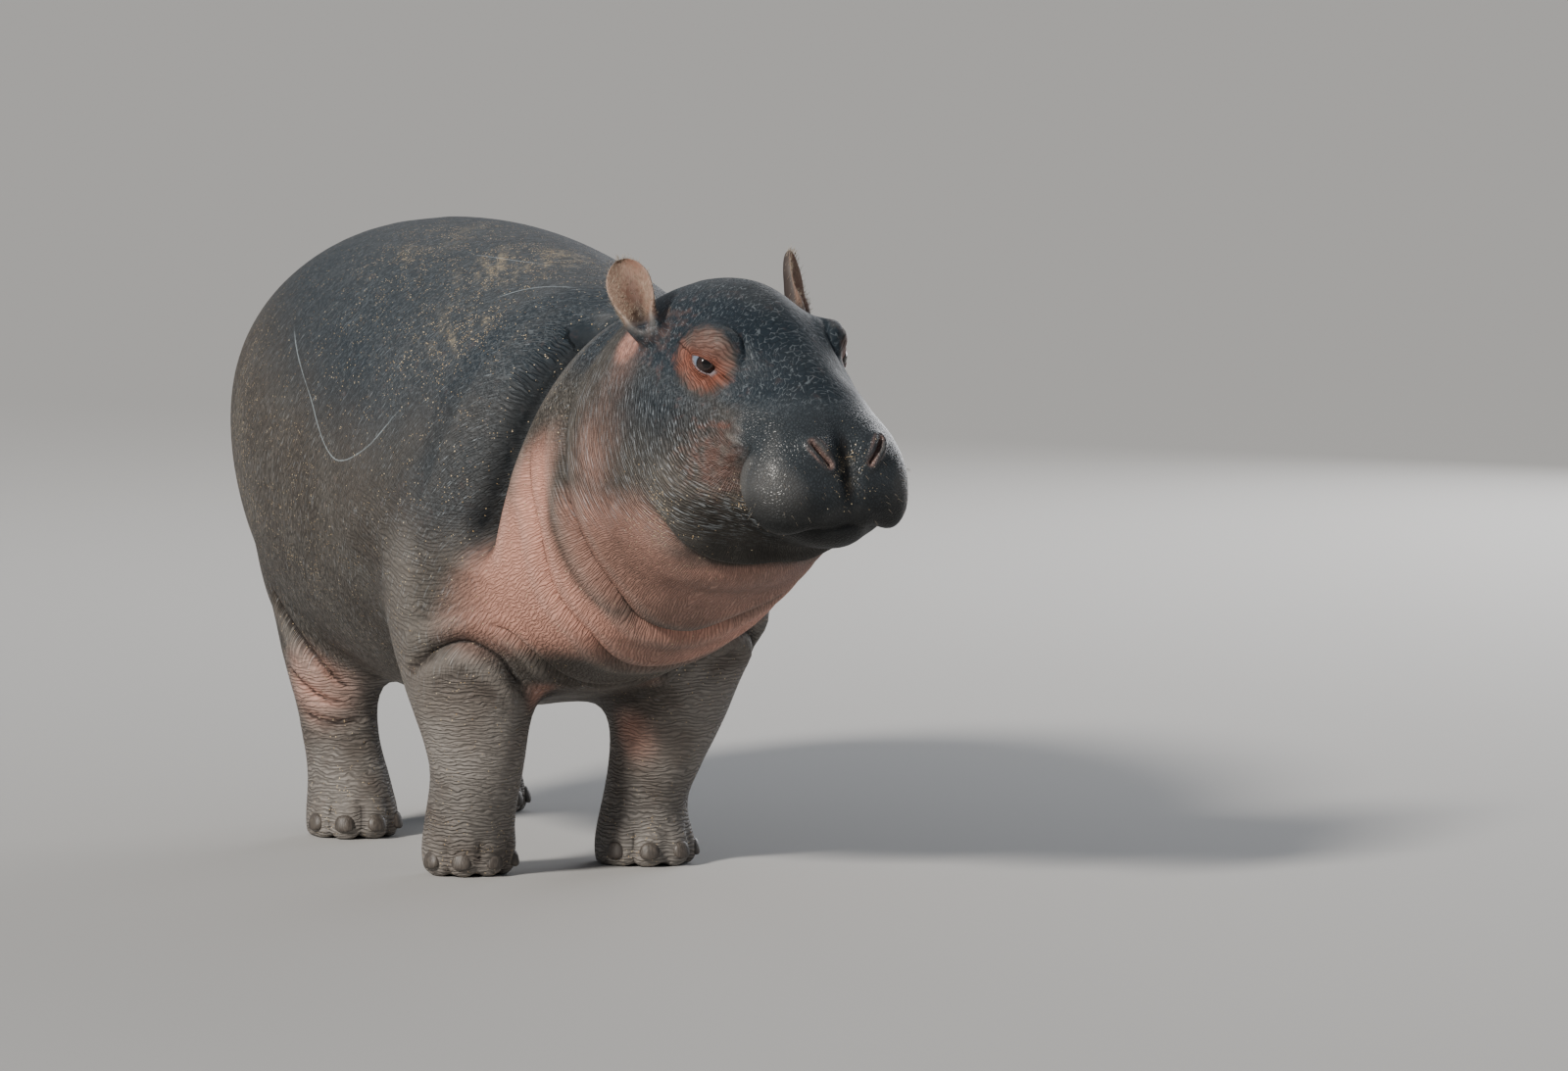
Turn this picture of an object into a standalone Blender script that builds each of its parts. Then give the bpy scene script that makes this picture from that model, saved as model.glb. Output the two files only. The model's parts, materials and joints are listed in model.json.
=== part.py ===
"""A young hippopotamus in mid step, as the solids of a still, life-size museum model.

The animal faces -Y with +Z up and its left side at +X. Its soft masses are lofts and balls
that are fused and smoothed in two rounds, because a living body has wide soft joins along
the trunk and tighter ones on the face and feet. The fused body is then parted by thin cuts
into the parts that a person would name. Ears, tail, eyes and nails are made by themselves
and set against it. At the end the whole is moved so that the floor point under the middle
of its box is the origin.
"""

import math

import bmesh
import bpy
import numpy as np
from mathutils import Euler, Matrix, Vector

# Driving dimensions, in metres.
BACK_HEIGHT = 0.580  # floor to the top of the back
EYE_LINE = Vector((0.051, -0.525, 0.4955))  # midway between the eyes
HEAD_YAW = math.radians(16)  # the head is turned to its own left
GAP = 0.0004  # left between two parts

TRUNK_VOXEL = 0.009  # the first fuse, of the large masses
LIMB_VOXEL = 0.006  # the second, with legs, toes and face
BODY_TRIANGLES = 3700
RING_POINTS = 28

EYE_RADIUS = 0.0145
EYE_OUT = 0.0675  # from the head's middle plane
EYE_FORWARD = 0.004
EYE_RAISE = -0.003  # above the eye line
GAZE = math.radians(42)  # outward from straight ahead
SLIT_SIZE = (0.0135, 0.012, 0.0075)  # half sizes of the opening between the lids

EAR_OUT = 0.085
EAR_BACK = 0.065
EAR_RAISE = 0.022  # the ear's root above the eye line
EAR_LENGTH = 0.068
EAR_SPLAY = math.radians(11)
EAR_LEAN = math.radians(18)  # backward
EAR_TURN = math.radians(38)  # its opening, outward from straight ahead
EAR_HALF = (0.021, 0.014)  # half width and half thickness of the ear's shell
EAR_BOWL = (0.0175, 0.017)  # and of the hollow in it
EAR_STALK = (0.014, 0.012, 0.022)
EAR_TRIANGLES = 360
TAIL_TRIANGLES = 240

TOE_ANGLES = [math.radians(a) for a in (-62, -21, 21, 62)]
TOE_RADIUS = 0.019
NAIL_SIZE = (0.0092, 0.0045, 0.0092)  # half sizes across, deep and tall
NAIL_HEIGHT = 0.0155
NAIL_PROUD = 0.0042  # how far its middle stands out from the foot's own outline
NAIL_LEAN = (-14, 0, 0)  # degrees, its top tipped back
TOE_SIZE = (TOE_RADIUS, TOE_RADIUS, 0.020)
TOE_HEIGHT = 0.014
TOE_PROUD = 0.006
SLEEVE_SLANT = 0.32  # rise of a leg's top cut for each metre outward

SIDES = {"left": 1, "right": -1}
HEAD = Matrix.Translation(EYE_LINE) @ Matrix.Rotation(HEAD_YAW, 4, "Z")

# Each foot: middle x and y, half width across and fore and aft, heading outward.
FEET = {
    "leg_front_left": (0.088, -0.094, 0.045, 0.050, math.radians(6)),
    "leg_front_right": (-0.094, -0.128, 0.043, 0.041, math.radians(-4)),
    "leg_rear_left": (0.092, 0.385, 0.043, 0.050, math.radians(8)),
    "leg_rear_right": (-0.088, 0.222, 0.043, 0.050, math.radians(-8)),
}


# ---------------------------------------------------------------- modelling helpers

def smooth_rows(rows, count):
    """Rows joined by a smooth curve and read at evenly spaced places along it."""
    rows = np.array(rows, float)
    steps = np.linalg.norm(np.diff(rows[:, :3], axis=0), axis=1)
    at = np.concatenate([[0], np.cumsum(steps)])
    slopes = np.gradient(rows, at, axis=0)
    want = np.linspace(0, at[-1], count)
    i = np.clip(np.searchsorted(at, want, side="right") - 1, 0, len(at) - 2)
    span = (at[i + 1] - at[i])[:, None]
    t = (want - at[i])[:, None] / span
    return (
        rows[i] * (1 + 2 * t) * (1 - t) ** 2
        + slopes[i] * span * t * (1 - t) ** 2
        + rows[i + 1] * t * t * (3 - 2 * t)
        + slopes[i + 1] * span * t * t * (t - 1)
    )


def object_from(name, bm):
    """A new object in the scene that holds the bmesh's faces."""
    mesh = bpy.data.meshes.new(name)
    bm.to_mesh(mesh)
    bm.free()
    made = bpy.data.objects.new(name, mesh)
    bpy.context.scene.collection.objects.link(made)
    return made


def skin_of_rings(name, rings):
    """A closed tube through rings of equally many points, with both ends filled."""
    bm = bmesh.new()
    loops = [[bm.verts.new(point) for point in ring] for ring in rings]
    for low, high in zip(loops, loops[1:]):
        for k in range(len(low)):
            bm.faces.new((low[k - 1], low[k], high[k], high[k - 1]))
    bm.faces.new(reversed(loops[0]))
    bm.faces.new(loops[-1])
    bmesh.ops.recalc_face_normals(bm, faces=bm.faces)
    return object_from(name, bm)


def ring_angles():
    return np.linspace(0, 2 * math.pi, RING_POINTS, endpoint=False)


def barrel(name, rows, place=Matrix(), count=26):
    """A loft along Y from upright oval rings.

    A row is (y, x, half width, top, bottom, pear): pear above 0 widens the lower half.
    """
    angles = ring_angles()
    spaced = [(y, x, 0, half, top, low, pear) for y, x, half, top, low, pear in rows]
    rings = []
    for y, x, _, half, top, low, pear in smooth_rows(spaced, count):
        across = half * np.cos(angles) * (1 - pear * np.sin(angles))
        height = (top + low) / 2 + (top - low) / 2 * np.sin(angles)
        rings.append([place @ Vector((x + a, y, z)) for a, z in zip(across, height)])
    return skin_of_rings(name, rings)


def limb(name, rows, count=22):
    """A loft down a path. A row is (x, y, z, half width across, half width fore and aft)."""
    rows = smooth_rows(rows, count)
    along = np.gradient(rows[:, :3], axis=0)
    rings = []
    for (x, y, z, across, deep), way in zip(rows, along):
        way = Vector(way).normalized()
        side = Vector((1, 0, 0))
        side = (side - side.dot(way) * way).normalized()
        front = way.cross(side)
        middle = Vector((x, y, z))
        rings.append([
            middle + side * across * math.cos(a) + front * deep * math.sin(a)
            for a in ring_angles()
        ])
    return skin_of_rings(name, rings)


def ball(name, centre, radii, place=Matrix(), turn=(0, 0, 0), detail=3):
    """An ellipsoid with its own turn, in degrees, set in a place."""
    turned = Euler([math.radians(a) for a in turn]).to_matrix().to_4x4()
    matrix = place @ Matrix.Translation(centre) @ turned @ Matrix.Diagonal((*radii, 1))
    bm = bmesh.new()
    bmesh.ops.create_icosphere(bm, subdivisions=detail, radius=1, matrix=matrix)
    return object_from(name, bm)


def box(name, low, high, place=Matrix()):
    """A box between two corners, set in a place."""
    low, high = Vector(low), Vector(high)
    matrix = place @ Matrix.Translation((low + high) / 2) @ Matrix.Diagonal((*(high - low), 1))
    bm = bmesh.new()
    bmesh.ops.create_cube(bm, size=1, matrix=matrix)
    return object_from(name, bm)


def bake(obj):
    """Applies the object's modifiers."""
    graph = bpy.context.evaluated_depsgraph_get()
    obj.data = bpy.data.meshes.new_from_object(obj.evaluated_get(graph))
    obj.modifiers.clear()
    return obj


def copy_of(obj, name):
    made = obj.copy()
    made.data = obj.data.copy()
    made.name = name
    bpy.context.scene.collection.objects.link(made)
    return made


def boolean(obj, operation, other, keep=False):
    """Cuts other from obj, keeps what they share, or joins them."""
    cut = obj.modifiers.new("Boolean", "BOOLEAN")
    cut.operation = operation
    cut.solver = "EXACT"
    cut.object = other
    bake(obj)
    if not keep:
        bpy.data.objects.remove(other)
    return obj


def fuse(name, pieces, voxel, rounds):
    """The pieces as one soft body: joined by a voxel remesh, then smoothed."""
    bm = bmesh.new()
    for piece in pieces:
        bm.from_mesh(piece.data)
        bpy.data.objects.remove(piece)
    made = object_from(name, bm)
    remesh = made.modifiers.new("Remesh", "REMESH")
    remesh.mode = "VOXEL"
    remesh.voxel_size = voxel
    soften = made.modifiers.new("Smooth", "SMOOTH")
    soften.factor = 0.5
    soften.iterations = rounds
    return bake(made)


def thin_out(obj, triangles):
    """Fewer triangles, kept where the surface bends most."""
    obj.data.calc_loop_triangles()
    share = obj.modifiers.new("Decimate", "DECIMATE")
    share.ratio = triangles / len(obj.data.loop_triangles)
    return bake(obj)


def grown(obj):
    """A copy that is larger by the gap all over, for cutting a neighbour clear of it."""
    made = copy_of(obj, "grown")
    swell = made.modifiers.new("Displace", "DISPLACE")
    swell.strength = GAP
    swell.mid_level = 0
    return bake(made)


def part_off(body, name, cutter):
    """Takes what lies in the cutter off the body as an object, with a gap between the two.

    The cutter is a function of how much larger than its true size it is made.
    """
    piece = boolean(copy_of(body, name), "INTERSECT", cutter(0))
    boolean(body, "DIFFERENCE", cutter(GAP))
    return piece


def material(name, colour, roughness):
    made = bpy.data.materials.new(name)
    made.use_nodes = True
    shader = made.node_tree.nodes["Principled BSDF"]
    shader.inputs["Base Color"].default_value = (*colour, 1)
    shader.inputs["Roughness"].default_value = roughness
    shader.inputs["Metallic"].default_value = 0
    made.diffuse_color = (*colour, 1)
    return made


# ---------------------------------------------------------------- the soft masses

def trunk_masses():
    """The barrel from chest to buttocks, with shoulders and thighs."""
    masses = [
        barrel("barrel", [
            (-0.335, 0.010, 0.045, 0.450, 0.290, 0),
            (-0.315, 0.008, 0.100, 0.490, 0.235, 0),
            (-0.260, 0.004, 0.150, 0.522, 0.188, 0),
            (-0.160, 0, 0.182, 0.549, 0.158, 0),
            (-0.030, 0, 0.198, 0.570, 0.140, 0),
            (0.110, 0, 0.204, BACK_HEIGHT, 0.133, 0),
            (0.230, 0, 0.195, 0.574, 0.143, 0),
            (0.330, 0, 0.171, 0.558, 0.182, -0.03),
            (0.410, 0, 0.140, 0.525, 0.235, -0.06),
            (0.465, 0, 0.093, 0.470, 0.300, -0.05),
            (0.490, 0, 0.042, 0.415, 0.345, 0),
        ]),
    ]
    for s in SIDES.values():
        masses += [
            ball("shoulder", (s * 0.125, -0.165, 0.290), (0.060, 0.085, 0.130)),
            ball("thigh", (s * 0.098, 0.295, 0.285), (0.054, 0.090, 0.120)),
        ]
    return masses


def neck_masses():
    return [
        barrel("neck_core", [
            (-0.20, 0.000, 0.130, 0.518, 0.190, 0.05),
            (-0.29, 0.010, 0.137, 0.521, 0.190, 0.12),
            (-0.35, 0.020, 0.132, 0.528, 0.212, 0.15),
            (-0.41, 0.034, 0.126, 0.538, 0.248, 0.12),
            (-0.48, 0.048, 0.115, 0.545, 0.290, 0.05),
        ], count=16),
    ]


def head_masses():
    """The skull, in the head's own frame: forward is -Y and the eye line is at 0."""
    return [
        barrel("skull", [
            (0.150, 0, 0.098, 0.046, -0.210, 0.05),
            (0.100, 0, 0.110, 0.062, -0.220, 0.12),
            (0.060, 0, 0.113, 0.070, -0.216, 0.18),
            (0.020, 0, 0.106, 0.066, -0.207, 0.22),
            (-0.010, 0, 0.096, 0.052, -0.192, 0.22),
            (-0.050, 0, 0.083, 0.018, -0.166, 0.15),
            (-0.085, 0, 0.071, -0.020, -0.150, 0.08),
            (-0.110, 0, 0.060, -0.050, -0.142, 0.04),
            (-0.124, 0, 0.045, -0.076, -0.134, 0),
            (-0.131, 0, 0.020, -0.098, -0.124, 0),
        ], place=HEAD, count=24),
    ]


def face_masses():
    """Jowls, eye mounds, the two big lip pads, nostril mounds and chin."""
    masses = [ball("chin", (0, -0.073, -0.138), (0.042, 0.038, 0.026), HEAD)]
    for s in SIDES.values():
        masses += [
            ball("jowl", (s * 0.070, 0.028, -0.112), (0.044, 0.072, 0.070), HEAD),
            ball("eye_mound", (s * 0.060, 0.001, 0.002), (0.028, 0.031, 0.032), HEAD),
            ball("lip_pad", (s * 0.040, -0.082, -0.103), (0.043, 0.043, 0.046), HEAD),
            ball("nostril_mound", (s * 0.029, -0.100, -0.068), (0.017, 0.021, 0.014), HEAD),
        ]
    return masses


def leg_masses():
    return [
        limb("fore_left", [
            (0.112, -0.155, 0.320, 0.068, 0.082),
            (0.106, -0.150, 0.240, 0.066, 0.080),
            (0.098, -0.140, 0.170, 0.059, 0.067),
            (0.092, -0.120, 0.110, 0.045, 0.051),
            (0.089, -0.096, 0.060, 0.038, 0.042),
            (0.088, -0.094, 0.025, 0.045, 0.050),
            (0.088, -0.094, -0.010, 0.046, 0.051),
        ]),
        limb("fore_right", [
            (-0.118, -0.160, 0.320, 0.066, 0.082),
            (-0.114, -0.170, 0.240, 0.066, 0.078),
            (-0.106, -0.178, 0.170, 0.058, 0.062),
            (-0.100, -0.176, 0.115, 0.046, 0.048),
            (-0.097, -0.150, 0.062, 0.041, 0.040),
            (-0.094, -0.132, 0.028, 0.044, 0.042),
            (-0.094, -0.124, -0.010, 0.040, 0.036),
        ]),
        limb("hind_right", [
            (-0.104, 0.285, 0.330, 0.064, 0.090),
            (-0.101, 0.250, 0.240, 0.056, 0.074),
            (-0.100, 0.238, 0.170, 0.048, 0.056),
            (-0.093, 0.245, 0.110, 0.037, 0.043),
            (-0.089, 0.233, 0.060, 0.037, 0.041),
            (-0.088, 0.223, 0.025, 0.042, 0.050),
            (-0.088, 0.221, -0.010, 0.043, 0.051),
        ]),
        limb("hind_left", [
            (0.104, 0.300, 0.330, 0.064, 0.090),
            (0.103, 0.325, 0.240, 0.056, 0.074),
            (0.102, 0.355, 0.170, 0.048, 0.056),
            (0.096, 0.392, 0.110, 0.037, 0.043),
            (0.093, 0.392, 0.060, 0.037, 0.041),
            (0.092, 0.386, 0.025, 0.042, 0.050),
            (0.092, 0.384, -0.010, 0.043, 0.051),
        ]),
    ]


def toe_places(foot):
    """Where a foot's four toes point: the foot's middle, each way out and how far."""
    x, y, across, deep, heading = FEET[foot]
    for angle in TOE_ANGLES:
        way = Vector((across * math.sin(angle), -deep * math.cos(angle), 0))
        way.rotate(Euler((0, 0, heading)))
        yield Vector((x, y, 0)), way.normalized(), way.length


def toe_masses():
    masses = []
    for foot in FEET:
        for middle, way, reach in toe_places(foot):
            centre = middle + way * (reach - TOE_RADIUS + TOE_PROUD)
            centre.z = TOE_HEIGHT
            masses.append(ball("toe", centre, TOE_SIZE))
    return masses


def body_block():
    """The whole animal but for ears, tail, eyes and nails, flat-footed on the floor."""
    core = fuse("core", trunk_masses() + neck_masses() + head_masses(), TRUNK_VOXEL, 8)
    pieces = [core] + leg_masses() + toe_masses() + face_masses()
    body = thin_out(fuse("body", pieces, LIMB_VOXEL, 4), BODY_TRIANGLES)
    return boolean(body, "DIFFERENCE", box("floor", (-1, -1, -0.2), (1, 1, 0)))


# ---------------------------------------------------------------- parting the body

def leg_sleeve(foot, rows):
    """A cutter around one leg: level rings, the top one slanting down to the inside.

    A row is (x, y, z, half width across, half width fore and aft).
    """
    side = 1 if "left" in foot else -1

    def cutter(extra):
        rings = []
        for n, (x, y, z, across, deep) in enumerate(rows):
            slant = SLEEVE_SLANT if n == 0 else 0
            rings.append([
                Vector((
                    side * (x + (across + extra) * math.cos(a)),
                    y + (deep + extra) * math.sin(a),
                    z + slant * across * math.cos(a) + (extra if n == 0 else 0),
                ))
                for a in ring_angles()
            ])
        return skin_of_rings(foot + "_sleeve", rings)

    return cutter


SLEEVES = {
    "leg_front_left": [
        (0.104, -0.143, 0.180, 0.072, 0.080),
        (0.092, -0.128, 0.110, 0.072, 0.080),
        (0.088, -0.095, -0.030, 0.078, 0.088),
    ],
    "leg_front_right": [
        (0.110, -0.174, 0.180, 0.072, 0.080),
        (0.101, -0.170, 0.110, 0.072, 0.080),
        (0.096, -0.135, -0.030, 0.078, 0.085),
    ],
    "leg_rear_left": [
        (0.106, 0.350, 0.188, 0.066, 0.086),
        (0.096, 0.375, 0.110, 0.068, 0.086),
        (0.092, 0.385, -0.030, 0.076, 0.090),
    ],
    "leg_rear_right": [
        (0.104, 0.240, 0.186, 0.064, 0.082),
        (0.095, 0.240, 0.110, 0.068, 0.084),
        (0.088, 0.225, -0.030, 0.076, 0.090),
    ],
}


def half_space(name, place):
    """A cutter that holds everything ahead of a plane, toward its -Y."""
    return lambda extra: box(name, (-0.5, -0.8, -0.5), (0.5, extra, 0.5), place)


def head_plane():
    """Behind the ears at the top and under the jaw at the bottom."""
    return HEAD @ Matrix.Translation((0, 0.094, -0.08)) @ Matrix.Rotation(math.radians(-12), 4, "X")


def neck_plane():
    """In the deep fold ahead of the shoulders."""
    return Matrix.Translation((0, -0.272, 0.36)) @ Matrix.Rotation(math.radians(-4), 4, "X")


def eye_centre(side):
    return Vector((side * EYE_OUT, -EYE_FORWARD, EYE_RAISE))


def cut_eye_sockets(head):
    """A round seat for each eye and the slit between the lids."""
    for s in SIDES.values():
        seat = EYE_RADIUS + GAP
        boolean(head, "DIFFERENCE", ball("seat", eye_centre(s), (seat,) * 3, HEAD, detail=2))
        facing = HEAD @ Matrix.Translation(eye_centre(s)) @ Matrix.Rotation(s * GAZE, 4, "Z")
        slit = ball("slit", (0, -EYE_RADIUS - 0.002, 0), SLIT_SIZE, facing, detail=2)
        boolean(head, "DIFFERENCE", slit)


def ear(side, head_form):
    """A cupped ear on a short stalk, its foot following the head."""
    place = (
        HEAD
        @ Matrix.Translation((side * EAR_OUT, EAR_BACK, EAR_RAISE))
        @ Matrix.Rotation(side * EAR_SPLAY, 4, "Y")
        @ Matrix.Rotation(-EAR_LEAN, 4, "X")
        @ Matrix.Rotation(side * EAR_TURN, 4, "Z")
    )
    half = EAR_LENGTH / 2
    shell = ball("ear", (0, 0.002, half), (*EAR_HALF, half), place)
    bowl = ball("bowl", (0, -0.0085, half + 0.004), (*EAR_BOWL, half - 0.005), place)
    boolean(shell, "DIFFERENCE", bowl)
    boolean(shell, "UNION", ball("stalk", (0, 0.004, 0.004), EAR_STALK, place))
    return boolean(thin_out(shell, EAR_TRIANGLES), "DIFFERENCE", head_form, keep=True)


def tail(trunk_form):
    """Short and flattened, lying down the rump."""
    made = limb("tail", [
        (0, 0.445, 0.480, 0.018, 0.015),
        (0, 0.474, 0.460, 0.021, 0.015),
        (0, 0.492, 0.425, 0.021, 0.013),
        (0, 0.496, 0.388, 0.022, 0.011),
        (0, 0.490, 0.350, 0.019, 0.009),
        (0, 0.478, 0.320, 0.010, 0.006),
    ], count=14)
    return boolean(thin_out(made, TAIL_TRIANGLES), "DIFFERENCE", trunk_form, keep=True)


def nails(legs):
    """Four nails on each foot, each a blunt cap in a seat of its own."""
    made = {}
    for foot, leg in legs.items():
        for number, (middle, way, reach) in enumerate(toe_places(foot), 1):
            centre = middle + way * (reach + NAIL_PROUD)
            centre.z = NAIL_HEIGHT
            turn = Matrix.Translation(centre) @ way.to_track_quat("-Y", "Z").to_matrix().to_4x4()
            name = foot.replace("leg", "nail") + f"_{number}"
            made[name] = ball(name, (0, 0, 0), NAIL_SIZE, turn, NAIL_LEAN, 2)
            seat = [size + GAP for size in NAIL_SIZE]
            boolean(leg, "DIFFERENCE", ball("seat", (0, 0, 0), seat, turn, NAIL_LEAN, 2))
    return made


def build_hippopotamus():
    """Every part by its name."""
    body = body_block()
    form = grown(body)
    parts = {foot: part_off(body, foot, leg_sleeve(foot, rows)) for foot, rows in SLEEVES.items()}
    parts.update(nails(dict(parts)))
    parts["head"] = part_off(body, "head", half_space("head_cut", head_plane()))
    parts["neck"] = part_off(body, "neck", half_space("neck_cut", neck_plane()))
    parts["trunk"] = body
    cut_eye_sockets(parts["head"])
    for name, s in SIDES.items():
        parts["eye_" + name] = ball("eye", eye_centre(s), (EYE_RADIUS,) * 3, HEAD, detail=2)
        parts["ear_" + name] = ear(s, form)
    parts["tail"] = tail(form)
    bpy.data.objects.remove(form)
    return parts


def finish(parts):
    """Names, finishes and the move to the origin."""
    hide = material("hide", (0.125, 0.105, 0.105), 0.55)
    horn = material("horn", (0.085, 0.065, 0.055), 0.45)
    wet_eye = material("wet_eye", (0.020, 0.014, 0.012), 0.08)
    points = np.array([v.co for part in parts.values() for v in part.data.vertices])
    low, high = points.min(axis=0), points.max(axis=0)
    to_origin = Vector((-(low[0] + high[0]) / 2, -(low[1] + high[1]) / 2, -low[2]))
    for name, part in parts.items():
        part.name = name
        part.data.name = name
        part.data.transform(Matrix.Translation(to_origin))
        part.data.materials.clear()
        finish_of = horn if name.startswith("nail") else wet_eye if name.startswith("eye") else hide
        part.data.materials.append(finish_of)
        part.data.shade_smooth()


for old in list(bpy.data.objects):
    bpy.data.objects.remove(old)
finish(build_hippopotamus())
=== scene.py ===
"""The looks of a hippopotamus calf in mid step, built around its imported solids.

The calf faces -Y and its left side is at +X. Lengths are metres.
"""

import json
import math

import bmesh
import bpy
import numpy as np
from mathutils import Matrix, Vector


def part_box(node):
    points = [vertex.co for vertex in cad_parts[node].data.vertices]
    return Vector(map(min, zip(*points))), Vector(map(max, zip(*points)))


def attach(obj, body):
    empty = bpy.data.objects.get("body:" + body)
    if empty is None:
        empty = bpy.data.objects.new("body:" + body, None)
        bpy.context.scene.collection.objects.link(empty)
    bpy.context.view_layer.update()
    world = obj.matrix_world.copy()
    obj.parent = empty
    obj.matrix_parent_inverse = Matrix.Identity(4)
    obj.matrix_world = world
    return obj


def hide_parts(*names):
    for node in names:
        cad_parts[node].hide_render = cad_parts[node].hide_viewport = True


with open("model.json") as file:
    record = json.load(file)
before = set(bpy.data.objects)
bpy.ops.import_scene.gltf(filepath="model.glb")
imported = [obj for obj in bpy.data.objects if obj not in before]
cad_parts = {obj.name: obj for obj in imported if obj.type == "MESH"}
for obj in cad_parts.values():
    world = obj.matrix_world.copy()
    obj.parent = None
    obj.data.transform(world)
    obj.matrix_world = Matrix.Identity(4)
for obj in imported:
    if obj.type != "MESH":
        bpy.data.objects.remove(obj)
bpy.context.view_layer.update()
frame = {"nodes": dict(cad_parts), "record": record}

# ---------------------------------------------------------------- the body
# A calf is one heavy, soft body in one thick, nearly bare hide. Its skin starts as the flesh
# solids run together, and is then eased until none of their flats is left.

BODY_GRAIN = 0.0090  # side of one face of the first skin
EASE_BODY, EASE_HEAD, EASE_FEET = 0.45, 0.15, 0.10  # share of the way to the neighbours
EASE_ROUNDS = 36
SIDES = {"left": 1, "right": -1}

flesh = [
    part["node"] for part in frame["record"]["subparts"]
    if part["material_slot"] == "hide" and not part["node"].startswith("ear")
]
horny = [name for name in frame["nodes"] if name.startswith("nail")]


def added(name, data):
    """A new object of that name in the scene, which holds the data."""
    made = bpy.data.objects.new(name, data)
    bpy.context.scene.collection.objects.link(made)
    return made


def run_together(name, nodes):
    """One object that holds a copy of each node, its loose triangles joined at their corners."""
    bm = bmesh.new()
    for node in nodes:
        bm.from_mesh(frame["nodes"][node].data)
    bmesh.ops.remove_doubles(bm, verts=bm.verts, dist=1e-6)
    mesh = bpy.data.meshes.new(name)
    bm.to_mesh(mesh)
    bm.free()
    return added(name, mesh)


def worked_in(piece):
    """The piece with its modifiers worked into its mesh."""
    graph = bpy.context.evaluated_depsgraph_get()
    piece.data = bpy.data.meshes.new_from_object(piece.evaluated_get(graph))
    piece.modifiers.clear()
    return piece


def points_of(mesh):
    """The mesh's points, one to a row."""
    flat = np.empty(len(mesh.vertices) * 3)
    mesh.vertices.foreach_get("co", flat)
    return flat.reshape(-1, 3)


def put_points(mesh, points):
    """Moves the mesh's points to those of the rows."""
    mesh.vertices.foreach_set("co", points.astype(np.float32).ravel())
    mesh.update()


def edges_of(mesh):
    """The two points of each edge, one edge to a row."""
    flat = np.empty(len(mesh.edges) * 2, np.int32)
    mesh.edges.foreach_get("vertices", flat)
    return flat.reshape(-1, 2)


def outward(mesh):
    """The unit normal at each point."""
    flat = np.empty(len(mesh.vertices) * 3)
    mesh.vertex_normals.foreach_get("vector", flat)
    return flat.reshape(-1, 3)


def eased(values, edges, share, rounds):
    """Each value moves its share of the way to the mean of its neighbours, round after round."""
    count = len(values)
    first, second = edges.T
    degree = np.maximum(np.bincount(edges.ravel(), minlength=count), 1)[:, None]
    for _ in range(rounds):
        around = np.stack([
            np.bincount(first, column[second], count) + np.bincount(second, column[first], count)
            for column in values.T
        ], 1)
        values = values + share * (around / degree - values)
    return values


def softened(points, edges, share, rounds):
    """The eased points, plus the eased part of what the easing took, so that bulk is kept."""
    soft = eased(points, edges, share, rounds)
    return soft + eased(points - soft, edges, share, rounds)


def ramp(values, low, high):
    """0 below low and 1 above high, with the smooth step 3t^2 - 2t^3 between."""
    t = np.clip((values - low) / (high - low), 0, 1)
    return t * t * (3 - 2 * t)


def hill(distance, width):
    """The bell exp(-(distance / width)^2)."""
    return np.exp(-((distance / width) ** 2))


def middle_of(node):
    """The middle of a solid's box."""
    low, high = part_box(node)
    return np.array((low + high) / 2)


EYE_MIDDLE = {side: middle_of("eye_" + side) for side in SIDES}
EYE_RADIUS = float((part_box("eye_left")[1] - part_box("eye_left")[0]).z) / 2
HEAD_MIDDLE = (EYE_MIDDLE["left"] + EYE_MIDDLE["right"]) / 2
TO_LEFT = EYE_MIDDLE["left"] - EYE_MIDDLE["right"]
TO_LEFT /= np.linalg.norm(TO_LEFT)
AHEAD = np.array([TO_LEFT[1], -TO_LEFT[0], 0])
UP = np.array([0.0, 0.0, 1.0])


def in_head(points):
    """Each point's place to the left of, ahead of and above the middle between the eyes."""
    away = points - HEAD_MIDDLE
    return away @ TO_LEFT, away @ AHEAD, away @ UP


def from_head(left, ahead, up):
    """The inverse of in_head."""
    return HEAD_MIDDLE + left * TO_LEFT + ahead * AHEAD + up * UP


body = [name for name in flesh if name != "tail"]
skin = run_together("hide", body + horny + ["eye_left", "eye_right"])
remesh = skin.modifiers.new("Remesh", "REMESH")
remesh.mode = "VOXEL"
remesh.voxel_size = BODY_GRAIN
worked_in(skin)

points = points_of(skin.data)
edges = edges_of(skin.data)
_, ahead, _ = in_head(points)
head_share = ramp(ahead, -0.16, -0.06)
foot_share = 1 - ramp(points[:, 2], 0.05, 0.11)
share = EASE_BODY + (EASE_HEAD - EASE_BODY) * head_share
share = share + (EASE_FEET - share) * foot_share
points = softened(points, edges, share[:, None], EASE_ROUNDS)
points[:, 2] = np.maximum(points[:, 2], 0)
put_points(skin.data, points)


# ---------------------------------------------------------------- finer skin for folds and face
# The folds, the feet and above all the face are more finely made than the smooth barrel. The
# skin's faces are split in four there, and once more close to a crease, and then eased.

RELAX_ROUNDS = 4


def middles_of(mesh):
    """The middle of each face, one to a row."""
    flat = np.empty(len(mesh.polygons) * 3)
    mesh.polygons.foreach_get("center", flat)
    return flat.reshape(-1, 3)


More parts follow.
